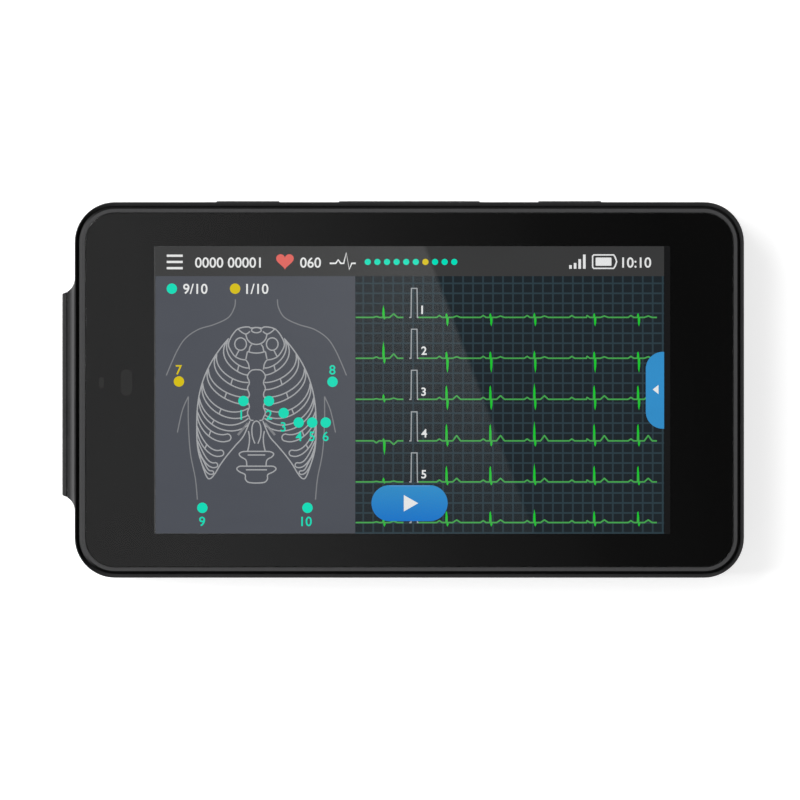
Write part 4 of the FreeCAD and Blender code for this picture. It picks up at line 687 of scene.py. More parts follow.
def chains_mesh(name: str, chains: Iterable[Sequence[Point]], level: float) -> Mesh:
    """Makes a mesh of chains of edges at one height.

    Args:
        name: The mesh's name.
        chains: Each chain's points. A chain that ends where it starts is closed.
        level: The height.

    Returns:
        The mesh.
    """
    places: list[tuple[float, float, float]] = []
    links: list[tuple[int, int]] = []
    for chain in chains:
        closed = math.dist(chain[0], chain[-1]) < 1e-9
        points = chain[:-1] if closed else chain
        first = len(places)
        places += [(x, y, level) for x, y in points]
        links += [(first + k, first + k + 1) for k in range(len(points) - 1)]
        if closed:
            links.append((first + len(points) - 1, first))
    return new_mesh(name, places, links)


def slab_mesh(name: str, outlines: Iterable[Sequence[Point]], low: float, high: float) -> Mesh:
    """Makes closed flat plates.

    Args:
        name: The mesh's name.
        outlines: Each plate's outline.
        low: The height of their undersides.
        high: The height of their tops.

    Returns:
        The mesh.
    """
    places: list[tuple[float, float, float]] = []
    faces: list[list[int]] = []
    for outline in outlines:
        count = len(outline)
        under = [len(places) + k for k in range(count)]
        over = [k + count for k in under]
        places += [(x, y, level) for level in (low, high) for x, y in outline]
        faces += [under[::-1], over]
        faces += [[under[k], under[(k + 1) % count], over[(k + 1) % count], over[k]]
                  for k in range(count)]
    mesh = new_mesh(name, places, faces=faces)
    outward(mesh)
    return mesh


def smooth(points: Sequence[Point], steps: int = 8) -> list[Point]:
    """Returns a smooth curve through points, as a Catmull-Rom spline.

    Args:
        points: The points it goes through.
        steps: How many pieces each span has.

    Returns:
        The points along the curve.
    """
    closed = math.dist(points[0], points[-1]) < 1e-9
    before, after = (points[-2], points[1]) if closed else (points[0], points[-1])
    padded = [before, *points, after]
    result: list[Point] = []
    for span in zip(padded, padded[1:], padded[2:], padded[3:]):
        for t in [step / steps for step in range(steps)]:
            result.append(tuple(
                0.5 * (2 * b + (c - a) * t + (2 * a - 5 * b + 4 * c - d) * t * t
                       + (3 * b - a - 3 * c + d) * t ** 3) for a, b, c, d in zip(*span)))
    return result + [points[-1]]


def rounded(left: float, right: float, low: float, high: float, radii: Sequence[float],
            steps: int = 12) -> list[Point]:
    """Returns a rectangle's outline with rounded corners.

    Args:
        left: The lowest X.
        right: The highest X.
        low: The lowest Y.
        high: The highest Y.
        radii: The radius at the lower left, lower right, upper right and upper left.
        steps: How many sides a rounded corner has.

    Returns:
        The outline, anticlockwise.
    """
    turns = ((left, low, 1, 1, 180), (right, low, -1, 1, 270),
             (right, high, -1, -1, 0), (left, high, 1, -1, 90))
    outline: list[Point] = []
    for (x, y, across, up, start), radius in zip(turns, radii):
        sides = steps if radius > 0 else 0
        for step in range(sides + 1):
            angle = math.radians(start + 90 * step / steps)
            outline.append((x + across * radius + radius * math.cos(angle),
                            y + up * radius + radius * math.sin(angle)))
    return outline


# -------------------------------------------------------------------------- geometry trees


class Recipe(Nodes):
    """A Geometry Nodes tree being made, with named inputs for its sizes."""

    def __init__(self, name: str) -> None:
        """Starts a tree with one geometry input and one geometry output."""
        super().__init__(bpy.data.node_groups.new(name, "GeometryNodeTree"))
        self.keys: dict[str, str] = {}
        for way in ("INPUT", "OUTPUT"):
            self.tree.interface.new_socket("Geometry", in_out=way,
                                           socket_type="NodeSocketGeometry")
        self.inside = self.tree.nodes.new("NodeGroupInput")
        self.outside = self.tree.nodes.new("NodeGroupOutput")
        self.material = self.size("Material", "NodeSocketMaterial")
        self.build()

    def build(self) -> None:
        """Makes the tree's nodes."""
        raise NotImplementedError

    def size(self, name: str, kind: str = "NodeSocketFloat") -> Socket:
        """Adds a named input of a kind and returns its socket inside the tree."""
        made = self.tree.interface.new_socket(name, in_out="INPUT", socket_type=kind)
        self.keys[name] = made.identifier
        return next(out for out in self.inside.outputs if out.identifier == made.identifier)

    def sizes(self, names: str) -> list[Socket]:
        """Adds an input for each word of a text."""
        return [self.size(name) for name in names.split()]

    def vector(self, *parts: object) -> Socket:
        """Returns a vector of up to three numbers or sockets, with zeros for the rest."""
        return self.add("ShaderNodeCombineXYZ", values=parts).outputs[0]

    def copies(self, points: Socket, item: Socket) -> Socket:
        """Returns copies of a mesh at points."""
        return self.add("GeometryNodeInstanceOnPoints", Points=points, Instance=item).outputs[0]

    def finish(self, geometry: Socket) -> None:
        """Ends the tree with plain geometry and its material."""
        real = self.add("GeometryNodeRealizeInstances", Geometry=geometry)
        dressed = self.add("GeometryNodeSetMaterial", Geometry=real.outputs[0],
                           Material=self.material)
        self.feed(self.outside.inputs[0], dressed.outputs[0])

    def ribbon(self, curve: Socket, width: object, thickness: object) -> Socket:
        """Returns a curve drawn as a flat closed ribbon.

        Args:
            curve: The curve, in a plane of constant height.
            width: The ribbon's width.
            thickness: Its thickness along Z.

        Returns:
            The ribbon's mesh.
        """
        level = self.add("GeometryNodeSetCurveNormal", {"mode": "Z_UP"}, Curve=curve)
        profile = self.add("GeometryNodeCurvePrimitiveQuadrilateral", Width=width,
                           Height=thickness)
        return self.add("GeometryNodeCurveToMesh", Curve=level.outputs[0],
                        Profile_Curve=profile.outputs[0], Fill_Caps=True).outputs[0]

    def run(self, name: str, source: Mesh, finish: Finish, **sizes: float | int) -> Piece:
        """Runs the tree on a mesh and keeps the result as a plain object.

        Args:
            name: The new piece's name.
            source: The mesh that goes in.
            finish: The finish of the piece.
            **sizes: Inputs by name.

        Returns:
            The piece, with a plain mesh and no modifier.
        """
        piece = placed(name, source)
        modifier = piece.modifiers.new("recipe", "NODES")
        modifier.node_group = self.tree
        for key, value in {"Material": finish.get(), **sizes}.items():
            modifier[self.keys[key]] = value
        made = plain(piece)
        piece.modifiers.clear()
        piece.data = made
        outward(made)
        return piece


class Strokes(Recipe):
    """Draws each chain of edges as a flat line, once or repeated in a row downwards."""

    def build(self) -> None:
        """Makes the tree's nodes."""
        width, thickness, step = self.sizes("Width Thickness Step")
        curve = self.add("GeometryNodeMeshToCurve", Mesh=self.inside.outputs[0])
        row = self.add("GeometryNodeMeshLine", Count=self.size("Copies", "NodeSocketInt"),
                       Offset=self.vector(0.0, self.math("MULTIPLY", step, -1.0)))
        self.finish(self.copies(row.outputs[0], self.ribbon(curve.outputs[0], width, thickness)))


class Grid(Recipe):
    """Rules a rectangle with upright and level lines at one pitch."""

    def build(self) -> None:
        """Makes the tree's nodes."""
        width, height, pitch, line, thickness, level, left, top, across, down = self.sizes(
            "Width Height Pitch Line Thickness Level Left Top First_across First_down")
        middle_across = self.math("ADD", left, self.math("DIVIDE", width, 2.0))
        middle_down = self.math("SUBTRACT", top, self.math("DIVIDE", height, 2.0))
        level_lines = (height, down, (middle_across, self.math("SUBTRACT", top, down), level),
                       (0.0, self.math("MULTIPLY", pitch, -1.0)), (width, line, thickness))
        upright_lines = (width, across, (self.math("ADD", left, across), middle_down, level),
                         (pitch,), (line, height, thickness))
        lines = self.add("GeometryNodeJoinGeometry")
        for span, first, start, offset, size in (level_lines, upright_lines):
            count = self.math("CEIL", self.math("DIVIDE", self.math("SUBTRACT", span, first),
                                                pitch))
            row = self.add("GeometryNodeMeshLine", Count=count, Offset=self.vector(*offset),
                           Start_Location=self.vector(*start))
            bar = self.add("GeometryNodeMeshCube", Size=self.vector(*size))
            self.feed(lines.inputs[0], self.copies(row.outputs[0], bar.outputs[0]))
        self.finish(lines.outputs[0])


class Dots(Recipe):
    """Sets a flat round dot on every point."""

    def build(self) -> None:
        """Makes the tree's nodes."""
        radius, thickness = self.sizes("Radius Thickness")
        disc = self.add("GeometryNodeMeshCylinder", Vertices=40, Radius=radius, Depth=thickness)
        self.finish(self.copies(self.inside.outputs[0], disc.outputs[0]))


class Beats(Recipe):
    """Draws a heart trace along X, with one beat at each point of the incoming mesh.

    A point's attributes give its beat's waves: "up" and "down" for the sharp one, "before" for
    the small wave ahead of it and "after" for the round one behind.
    """

    WAVES: dict[str, tuple[float, float]] = {
        "up": (0.0, 0.13 * MM), "down": (0.2 * MM, 0.13 * MM),
        "before": (-1.55 * MM, 0.6 * MM), "after": (2.2 * MM, 0.85 * MM)}

    def build(self) -> None:
        """Makes the tree's nodes."""
        start, end, base, level, step, line, thickness = self.sizes(
            "Start End Base Level Step Line Thickness")
        path = self.add("GeometryNodeCurvePrimitiveLine", Start=self.vector(start, base, level),
                        End=self.vector(end, base, level))
        fine = self.add("GeometryNodeResampleCurve", {"mode": "LENGTH"}, Curve=path.outputs[0],
                        Length=step)
        here = self.add("GeometryNodeInputPosition").outputs[0]
        beat = self.add("GeometryNodeSampleNearest", {"domain": "POINT"},
                        Geometry=self.inside.outputs[0], Sample_Position=here).outputs[0]
        past = self.math("SUBTRACT", self.axis(here, "X"),
                         self.axis(self.sampled(beat, here, "FLOAT_VECTOR"), "X"))
        waves: dict[str, Socket] = {}
        for name, (middle, reach) in self.WAVES.items():
            size = self.add("GeometryNodeInputNamedAttribute", {"data_type": "FLOAT"}, Name=name)
            waves[name] = self.math("MULTIPLY", self.sampled(beat, size.outputs[0], "FLOAT"),
                                    self.tent(past, middle, reach))
        sharp = self.math("SUBTRACT", waves["up"], waves["down"])
        soft = self.math("ADD", waves["before"], waves["after"])
        moved = self.add("GeometryNodeSetPosition", Geometry=fine.outputs[0],
                         Offset=self.vector(0.0, self.math("ADD", sharp, soft)))
        steep = self.math("MINIMUM", 1.0, self.math(
            "DIVIDE", self.math("ABSOLUTE", sharp), 0.5 * MM))
        marked = self.add("GeometryNodeStoreNamedAttribute",
                          {"data_type": "FLOAT", "domain": "POINT"},
                          Geometry=moved.outputs[0], Name="lift", Value=steep)
        self.finish(self.ribbon(marked.outputs[0], line, thickness))

    def sampled(self, index: Socket, value: Socket, kind: str) -> Socket:
        """Returns the value that the incoming mesh has at one of its points."""
        return self.add("GeometryNodeSampleIndex", {"data_type": kind, "domain": "POINT"},
                        Geometry=self.inside.outputs[0], Value=value, Index=index).outputs[0]

    def tent(self, past: Socket, middle: float, reach: float) -> Socket:
        """Returns 1 at the middle, falling evenly to 0 at the reach on either side."""
        gone = self.math("ABSOLUTE", self.math("SUBTRACT", past, middle))
        return self.math("MAXIMUM", 0.0,
                         self.math("SUBTRACT", 1.0, self.math("DIVIDE", gone, reach)))


# ----------------------------------------------------------------------------------- screen


class Layer(Enum):
    """The layers of the screen's image, as heights over the touch sensor in millimetres."""

    GROUND = (0.0, 0.018)
    GRID = (0.018, 0.030)
    LINE = (0.030, 0.044)
    MARK = (0.044, 0.058)
    CONTROL = (0.058, 0.072)
    SIGN = (0.072, 0.086)

    @property
    def low(self) -> float:
        """Returns the underside's height in the part's frame."""
        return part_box("touch_sensor")[1][2] + self.value[0] * MM

    @property
    def high(self) -> float:
        """Returns the top's height in the part's frame."""
        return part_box("touch_sensor")[1][2] + self.value[1] * MM

    @property
    def thickness(self) -> float:
        """Returns the layer's thickness."""
        return self.high - self.low

    @property
    def middle(self) -> float:
        """Returns the height of the layer's middle."""
        return (self.high + self.low) / 2


@dataclass(frozen=True)
class Layout:
    """The screen's own layout grid, counted right and down from the lit area's corner.

    Attributes:
        left: The lit area's left side along X.
        top: Its upper side along Y.
        step: One step of the grid.
        width: The lit area's width in steps.
        height: Its height in steps.
        margin: How many steps the dim margin reaches past its right side.
    """

    left: float = -55.145 * MM
    top: float = 31.196 * MM
    step: float = 0.2175 * MM
    width: float = 508.0
    height: float = 286.7
    margin: float = 6.0

    def x(self, across: float) -> float:
        """Returns how far along X a column is."""
        return self.left + across * self.step

    def y(self, down: float) -> float:
        """Returns how far along Y a row is."""
        return self.top - down * self.step

    def line(self, *points: Point) -> list[Point]:
        """Returns a line of straight pieces through points of the grid."""
        return [(self.x(across), self.y(down)) for across, down in points]

    def curve(self, *points: Point) -> list[Point]:
        """Returns a smooth line through points of the grid."""
        return smooth(self.line(*points))

    def area(self, left: float, right: float, top: float, bottom: float,
             radii: Sequence[float] = (0.0, 0.0, 0.0, 0.0)) -> list[Point]:
        """Returns a rectangle's outline, given in steps of the grid."""
        return rounded(self.x(left), self.x(right), self.y(bottom), self.y(top),
                       [radius * self.step for radius in radii])


LAYOUT = Layout()


class Hue(Enum):
    """The colours that the screen shows."""

    STATUS = linear(60, 60, 60.5)
    BODY_MAP = linear(79, 82, 90.5)
    CHART = linear(31, 38.5, 43.5)
    RULING = linear(46, 63, 71)
    MARGIN = linear(24, 24, 25)
    PULSE = linear(168, 172, 176)
    BONE = linear(172, 173, 176)
    SKIN = linear(132, 133, 137)
    WHITE = linear(240, 240, 240)
    TEAL = linear(0, 228, 190)
    YELLOW = linear(222, 197, 0)
    CORAL = linear(232, 106, 98)
    GREEN = linear(74, 168, 82)
    GREEN_PEAK = linear(30, 205, 50)
    BLUE = linear(48, 146, 206)
    BLUE_LOW = linear(20, 119, 206)
    BLUE_EDGE = linear(86, 150, 214)
    BLUE_TAB = linear(54, 146, 207)

    @property
    def finish(self) -> ScreenLight:
        """Returns the finish of an area lit in this colour."""
        return ScreenLight(f"screen_{self.name.lower()}", self.value)


@dataclass
class ScreenPart:
    """A part of the screen's image, built of thin lit plates over the touch sensor.

    Attributes:
        pieces: The finished pieces.
    """

    pieces: list[Piece] = field(default_factory=list)

    def keep(self, piece: Piece) -> None:
        """Lets a finished piece ride on the case and counts it."""
        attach(piece, BODY)
        self.pieces.append(piece)

    def show(self, name: str, mesh: Mesh, finish: Finish) -> None:
        """Makes a piece of a mesh."""
        mesh.materials.append(finish.get())
        self.keep(placed(name, mesh))

    def plate(self, name: str, layer: Layer, finish: Finish, *outlines: Sequence[Point]) -> None:
        """Makes a piece of flat plates.

        Args:
            name: The piece's name.
            layer: The layer that it lies in.
            finish: Its finish.
            *outlines: Each plate's outline.
        """
        self.show(name, slab_mesh(name, outlines, layer.low, layer.high), finish)

    def lines(self, name: str, layer: Layer, finish: Finish, width: float,
              chains: Sequence[Sequence[Point]], copies: int = 1, step: float = 0.0) -> None:
        """Makes a piece of drawn lines.

        Args:
            name: The piece's name.
            layer: The layer that it lies in.
            finish: Its finish.
            width: The lines' width in steps of the layout.
            chains: Each line's points.
            copies: How often the lines are repeated downwards.
            step: The distance between copies in steps of the layout.
        """
        self.keep(RECIPES["strokes"].run(
            name, chains_mesh(name, chains, layer.middle), finish, Width=width * LAYOUT.step,
            Thickness=layer.thickness, Copies=copies, Step=step * LAYOUT.step))

    def dots(self, name: str, layer: Layer, finish: Finish, radius: float,
             places: Sequence[Point]) -> None:
        """Makes a piece of round dots at points of the layout."""
        source = new_mesh(name, [(x, y, layer.middle) for x, y in LAYOUT.line(*places)])
        self.keep(RECIPES["dots"].run(name, source, finish, Radius=radius * LAYOUT.step,
                                      Thickness=layer.thickness))

    def digits(self, name: str, finish: Finish, marks: Sequence[tuple[str, float, float, float]],
               weight: float = 0.012) -> None:
        """Makes a piece of plain numbers.

        Args:
            name: The piece's name.
            finish: Its finish.
            marks: Each number's text, its left side, its base line and its height in steps.
            weight: How much the strokes are thickened, as a share of the type size.
        """
        work = bmesh.new()
        for text, left, base, height in marks:
            curve = bpy.data.curves.new(name, "FONT")
            # Any thickness does: the points are moved to the layer's two heights below.
            curve.body, curve.extrude, curve.offset, curve.resolution_u = text, 0.1, weight, 6
            holder = placed(name, curve)
            mesh = plain(holder)
            bpy.data.objects.remove(holder)
            first = min(vertex.co.x for vertex in mesh.vertices)
            rows = [vertex.co.y for vertex in mesh.vertices]
            lowest, tallest = min(rows), max(rows)
            scale = height * LAYOUT.step / (tallest - lowest)
            for vertex in mesh.vertices:
                vertex.co = (LAYOUT.x(left) + (vertex.co.x - first) * scale,
                             LAYOUT.y(base) + (vertex.co.y - lowest) * scale,
                             Layer.LINE.high if vertex.co.z > 0 else Layer.LINE.low)
            work.from_mesh(mesh)
            bpy.data.meshes.remove(mesh)
        bmesh.ops.remove_doubles(work, verts=work.verts, dist=1e-7)
        mesh = bpy.data.meshes.new(name)
        work.to_mesh(mesh)
        work.free()
        outward(mesh)
        self.show(name, mesh, finish)


@dataclass
class StatusBar(ScreenPart):
    """The bar along the screen's top: menu, patient number, heart rate, battery and clock.

    Attributes:
        height: The bar's height in steps of the layout.
        digit: The height of its numbers.
        base: The row that the numbers stand on.
        middle: The row of the round and symmetrical marks' middles.
        menu: The left and right end of the menu mark's first bar.
        menu_row: The row of that bar.
        menu_bar: The width of each bar.
        menu_pitch: The distance from one bar to the next.
        leads: How many leads have a dot.
        lead_start: The column of the first dot.
        lead_pitch: The distance from one dot to the next.
        dot: The radius of a lead's dot.
        off: The number, from 0, of the lead that is off.
        signal: The heights of the signal's bars.
        signal_start: The left side of the first of them.
        signal_pitch: The distance from one to the next.
        signal_bar: The width of one.
        signal_foot: The row that they stand on.
    """

    height: float = 29.8
    digit: float = 10.4
    base: float = 21.4
    middle: float = 15.6
    menu: Point = (11.2, 27.2)
    menu_row: float = 9.4
    menu_bar: float = 2.3
    menu_pitch: float = 6.2
    leads: int = 10
    lead_start: float = 212.0
    lead_pitch: float = 9.6
    dot: float = 3.1
    off: int = 6
    signal: tuple[float, ...] = (3.6, 5.8, 9.6, 14.2)
    signal_start: float = 413.2
    signal_pitch: float = 4.6
    signal_bar: float = 2.6
    signal_foot: float = 22.4

    def build(self) -> None:
        """Builds the bar."""
        white = Hue.WHITE.finish
        self.plate("status_bar", Layer.GROUND, Hue.STATUS.finish,
                   LAYOUT.area(0, LAYOUT.width, 0, self.height))
        bar = LAYOUT.line(*[(end, self.menu_row) for end in self.menu])
        self.lines("menu_bars", Layer.LINE, white, self.menu_bar, [bar], copies=3,
                   step=self.menu_pitch)
        self.plate("heart_mark", Layer.LINE, Hue.CORAL.finish, self.heart(129.3, 17.6, 15.6))
        self.digits("status_digits", white, [(text, left, self.base, self.digit) for text, left in (
            ("0000 00001", 39.5), ("060", 144.4), ("10:10", 466.2))])
        self.lines("rate_mark", Layer.LINE, white, 1.7, [LAYOUT.line(
            (174, 17), (180, 17), (182.5, 13.5), (185, 17), (188, 17), (190.5, 6.5), (193.5, 23),
            (196, 17), (200, 17))])
        leads = [(self.lead_start + self.lead_pitch * k, self.middle) for k in range(self.leads)]
        wrong = leads.pop(self.off)
        self.dots("lead_dots_on", Layer.LINE, Hue.TEAL.finish, self.dot, leads)
        self.dots("lead_dot_off", Layer.LINE, Hue.YELLOW.finish, self.dot, [wrong])
        bars = [(self.signal_start + self.signal_pitch * k, self.signal_foot - height)
                for k, height in enumerate(self.signal)]
        self.plate("signal_bars", Layer.LINE, white, *[
            LAYOUT.area(left, left + self.signal_bar, top, self.signal_foot)
            for left, top in bars])
        self.lines("battery_frame", Layer.LINE, white, 1.5, [self.battery()])
        self.plate("battery_charge", Layer.LINE, white,
                   LAYOUT.area(439.6, 455.4, 11.2, 19.4, (0.8,) * 4))

    def heart(self, across: float, width: float, height: float, sides: int = 48) -> list[Point]:
        """Returns a heart's outline.

        Args:
            across: The column of its middle.
            width: Its width.
            height: Its height.
            sides: How many sides the outline has.

        Returns:
            The outline.
        """
        outline: list[Point] = []
        for t in [math.pi - 2 * math.pi * k / sides for k in range(sides)]:
            x = 16 * math.sin(t) ** 3
            y = (13 * math.cos(t) - 5 * math.cos(2 * t) - 2 * math.cos(3 * t)
                 - math.cos(4 * t)) + 2.5
            outline.append((across + x / 32 * width, self.middle - y / 29 * height))
        return LAYOUT.line(*outline)

    @staticmethod
    def battery() -> list[Point]:
        """Returns the battery mark's frame, which is pointed at its right end."""
        left, right, top, bottom = 436.6, 458.2, 8.6, 22.0
        return LAYOUT.line(
            (left + 1.2, top), (right - 0.6, top), (right + 0.9, top + 2.2),
            (right + 2.4, (top + bottom) / 2), (right + 0.9, bottom - 2.2), (right - 0.6, bottom),
            (left + 1.2, bottom), (left, bottom - 1.2), (left, top + 1.2), (left + 1.2, top))


@dataclass(frozen=True)
class RibCage:
    """A plain rib cage, as half widths from the chest's middle and rows of the layout.

    Attributes:
        widest: The half width at the widest row.
        waist: The widest row.
        crown: How far above it the cage's curve closes.
        foot: How far below it the curve closes.
        first: The row of the first rib's elbow.
        pitch: The distance from one elbow to the next.
        ends: Where each rib ends.
        bands: Half of each rib's height at its end.
        sags: How far below its end each rib dips on the way.
        fixed: How many ribs reach the breastbone; the others end free and round.
        joints: How far out the mark across each rib lies.
    """

    widest: float = 59.6
    waist: float = 180.0
    crown: float = 113.0
    foot: float = 83.5
    first: float = 92.0
    pitch: float = 14.4
    ends: tuple[Point, ...] = ((8, 125), (8, 139.6), (8, 154.2), (8, 165), (8, 175),
                               (29, 191), (35.6, 206.5), (41, 218.5), (44.5, 226))
    bands: tuple[float, ...] = (3.5, 3.6, 3.6, 3.4, 3.2, 3.6, 3.0, 2.4, 1.8)
    sags: tuple[float, ...] = (1, 1, 2, 12, 17, 4, 3, 2, 1)
    fixed: int = 5
    joints: tuple[float, ...] = (19, 25, 31, 37, 43, 47, 51)

    def edge(self, row: float) -> float:
        """Returns the cage's half width at a row."""
        if row < self.waist:
            return self.widest * (1 - ((self.waist - row) / self.crown) ** 2.5)
        return self.widest * (1 - ((row - self.waist) / self.foot) ** 3)

    def line(self, number: int, side: int) -> list[Point]:
        """Returns a rib's upper or lower line from its elbow to its end.

        Args:
            number: The rib's number from 0.
            side: -1 for the upper line and 1 for the lower one.

        Returns:
            The points of the line.
        """
        row = self.first + self.pitch * number
        across, down = self.ends[number]
        end = down + side * self.bands[number]
        dip = self.sags[number]
        out = self.edge(row)
        turn = row + 0.55 * (end + dip - row)
        bends = ((out, row), (self.edge(turn) - 1.8 + 2.8 * side, turn),
                 (across + 0.42 * (out - across), end + dip), (across, end))
        shares = [k / 20 for k in range(21)]
        return [tuple((1 - t) ** 3 * a + 3 * (1 - t) ** 2 * t * b + 3 * (1 - t) * t * t * c
                      + t ** 3 * d for a, b, c, d in zip(*bends)) for t in shares]

    def rib(self, number: int) -> list[Point]:
        """Returns a rib's two lines as one chain, round at its end where it ends free."""
        upper, lower = self.line(number, -1), self.line(number, 1)
        if number < self.fixed:
            return list(reversed(upper)) + lower[1:]
        across, down = self.ends[number]
        reach = self.bands[number]
        tip = [(across - reach * math.cos(math.radians(angle)),
                down + reach * math.sin(math.radians(angle))) for angle in range(-60, 61, 30)]
        return upper + tip + list(reversed(lower))

    def joint(self, number: int) -> list[Point]:
        """Returns the mark across a rib."""
        reach = self.joints[number]
        return [min(self.line(number, side), key=lambda point: abs(point[0] - reach - side))
                for side in (-1, 1)]

    def outline(self) -> list[Point]:
        """Returns the cage's outer side, down to its lowest point and up the arch."""
        rows = [self.first + 7.2 * k for k in range(18)]
        arch = [(50, 229.5), (46.2, 232), (41.4, 227), (36, 218), (29, 208.5), (21, 199),
                (13, 189.5), (6.5, 174.5)]
        return [(self.edge(row), row) for row in rows] + arch


@dataclass
class BodyMap(ScreenPart):
    """The left panel: a plain drawing of a chest with the ten electrode places.

    Attributes:
        right: The panel's right side in steps of the layout.
        middle: The column of the chest's middle.
        dot: The radius of an electrode's dot.
        digit: The height of its number.
        key_digit: The height of the numbers over the drawing.
        number: How far right of its dot and how far below it a chest electrode's number starts.
        stroke: The width of the drawing's lines.
        thin: The width of the skin's lines.
        thick: The width of the two bars under the cage.
        cage: The rib cage.
    """

    right: float = 199.5
    middle: float = 100.8
    dot: float = 5.2
    digit: float = 9.6
    key_digit: float = 10.2
    number: Point = (-3.0, 18.6)
    stroke: float = 1.25
    thin: float = 1.1
    thick: float = 2.3
    cage: RibCage = RibCage()

    def build(self) -> None:
        """Builds the panel."""
        self.plate("body_map", Layer.GROUND, Hue.BODY_MAP.finish,
                   LAYOUT.area(0, self.right, StatusBar.height, LAYOUT.height))
        bone, skin = Hue.BONE.finish, Hue.SKIN.finish
        bars = self.both([(8.5, 176.5), (18.5, 188.5)], False)
        for name, chains, finish, width in (
                ("skin_outline", self.skin(), skin, self.thin),
                ("rib_lines", self.ribs(), bone, self.stroke),
                ("top_ring", self.top_ring(), bone, self.stroke),
                ("breastbone", self.breastbone(), bone, self.stroke),
                ("rib_bars", bars, skin, self.thick),
                ("spine_outline", self.spine(), bone, self.stroke)):
            self.lines(name, Layer.GRID, finish, width, chains)
        self.electrodes()

    def both(self, points: Sequence[Point], curved: bool = True) -> list[list[Point]]:
        """Returns a line of the drawing's left half and its mirror image.

        Args:
            points: The line, with columns counted from the chest's middle, to the left.
            curved: Whether the line is smooth.

        Returns:
            The two lines.
        """
        draw = LAYOUT.curve if curved else LAYOUT.line
        return [draw(*[(self.middle + side * across, down) for across, down in points])
                for side in (-1, 1)]

    def whole(self, *points: Point) -> list[list[Point]]:
        """Returns a smooth line over the middle, from its half that starts there."""
        left = [(self.middle - across, down) for across, down in reversed(points[1:])]
        return [LAYOUT.curve(*left, *[(self.middle + across, down) for across, down in points])]

    def skin(self) -> list[list[Point]]:
        """Returns the outline of neck, shoulders, arms and waist."""
        neck = [(21, 53), (22, 61), (28, 71), (42, 78), (58, 83), (71, 92), (79, 104), (85, 117),
                (90, 129)]
        arm = [(68, 150), (74, 164), (79, 186)]
        waist = [(68, 150), (68, 176), (66, 206), (61, 232), (59, 253)]
        return self.both(neck) + self.both(arm) + self.both(waist)

    def ribs(self) -> list[list[Point]]:
        """Returns the cage's outline, its ribs and the marks across them."""
        cage = self.cage
        straight = ([cage.rib(number) for number in range(len(cage.ends))]
                    + [cage.joint(number) for number in range(len(cage.joints))])
        return self.both(cage.outline()) + [
            half for chain in straight for half in self.both(chain, False)]

    def top_ring(self) -> list[list[Point]]:
        """Returns the top ring and what it holds."""
        ring = self.whole((0, 81), (5.4, 81.6), (7.5, 80.6), (13, 80.8), (18.6, 82.6), (22.5, 86.4),
                          (26, 92), (27.8, 97), (27, 101.6), (21.9, 109.4), (16, 112.6),
                          (10.4, 113.5))
        ring += self.whole((0, 98), (5.4, 96.6), (9.2, 92.6), (10.6, 87.6))
        ring += self.whole((0, 106.6), (4.5, 106.2), (9, 105))
        for curve in ([(18.2, 82.6), (15.2, 85.4), (10.6, 87.6), (6.4, 85)],
                      self.oval(0, 83.7, 4.8, 2.6), self.oval(15.8, 97.6, 5.8, 6.2),
                      [(7.4, 105), (6.4, 100.5), (4.6, 98)]):
            ring += self.both(curve)
        for line in ([(17.3, 103.7), (20.7, 110)], [(9, 105.2), (10.5, 112.5)]):
            ring += self.both(line, False)
        return ring

    def breastbone(self) -> list[list[Point]]:
        """Returns the breastbone with its waved sides."""
        sides = [(8 + math.cos(2 * math.pi * (row - 130) / 12), row) for row in range(128, 173, 3)]
        return (self.both([(10.4, 113.5), (8, 117.5), (7, 123)])
                + self.whole((0, 123.2), (5, 124), *sides, (6, 173.4), (3, 173.9))
                + self.whole((0, 174.5), (3, 176.5), (4.5, 182), (4, 190), (1.5, 197)))

    def spine(self) -> list[list[Point]]:
        """Returns the spine below the cage, with the discs' level lines."""
        spine = self.both([(8, 184.5), (7, 190), (7.2, 197), (8.8, 204.8)])
        spine += self.both([(8.8, 204.8), (14, 205.2), (17.2, 207.2), (15.5, 210.2),
                            (10.5, 213.5), (9.6, 219.6)])
        spine += self.whole((0, 236.4), (4, 236.3), (8.6, 235.4), (11, 232.4), (11.4, 228),
                            (16.5, 225.4), (19.6, 222.4), (17, 219.8), (10.6, 219.6))
        return spine + [LAYOUT.line((self.middle - half, row), (self.middle + half, row))
                        for half, row in ((8.8, 204.8), (8.8, 208.4), (10.6, 219.6), (10.6, 223.2))]

    @staticmethod
    def oval(across: float, down: float, wide: float, high: float) -> list[Point]:
        """Returns a closed oval as a half line, or its right half on the middle line.

        Args:
            across: The half width of its middle.
            down: The row of its middle.
            wide: Half its width.
            high: Half its height.

        Returns:
            The points of the line.
        """
        turns = range(-90, 91, 15) if across == 0 else range(0, 361, 15)
        return [(across + wide * math.cos(math.radians(turn)),
                 down + high * math.sin(math.radians(turn))) for turn in turns]

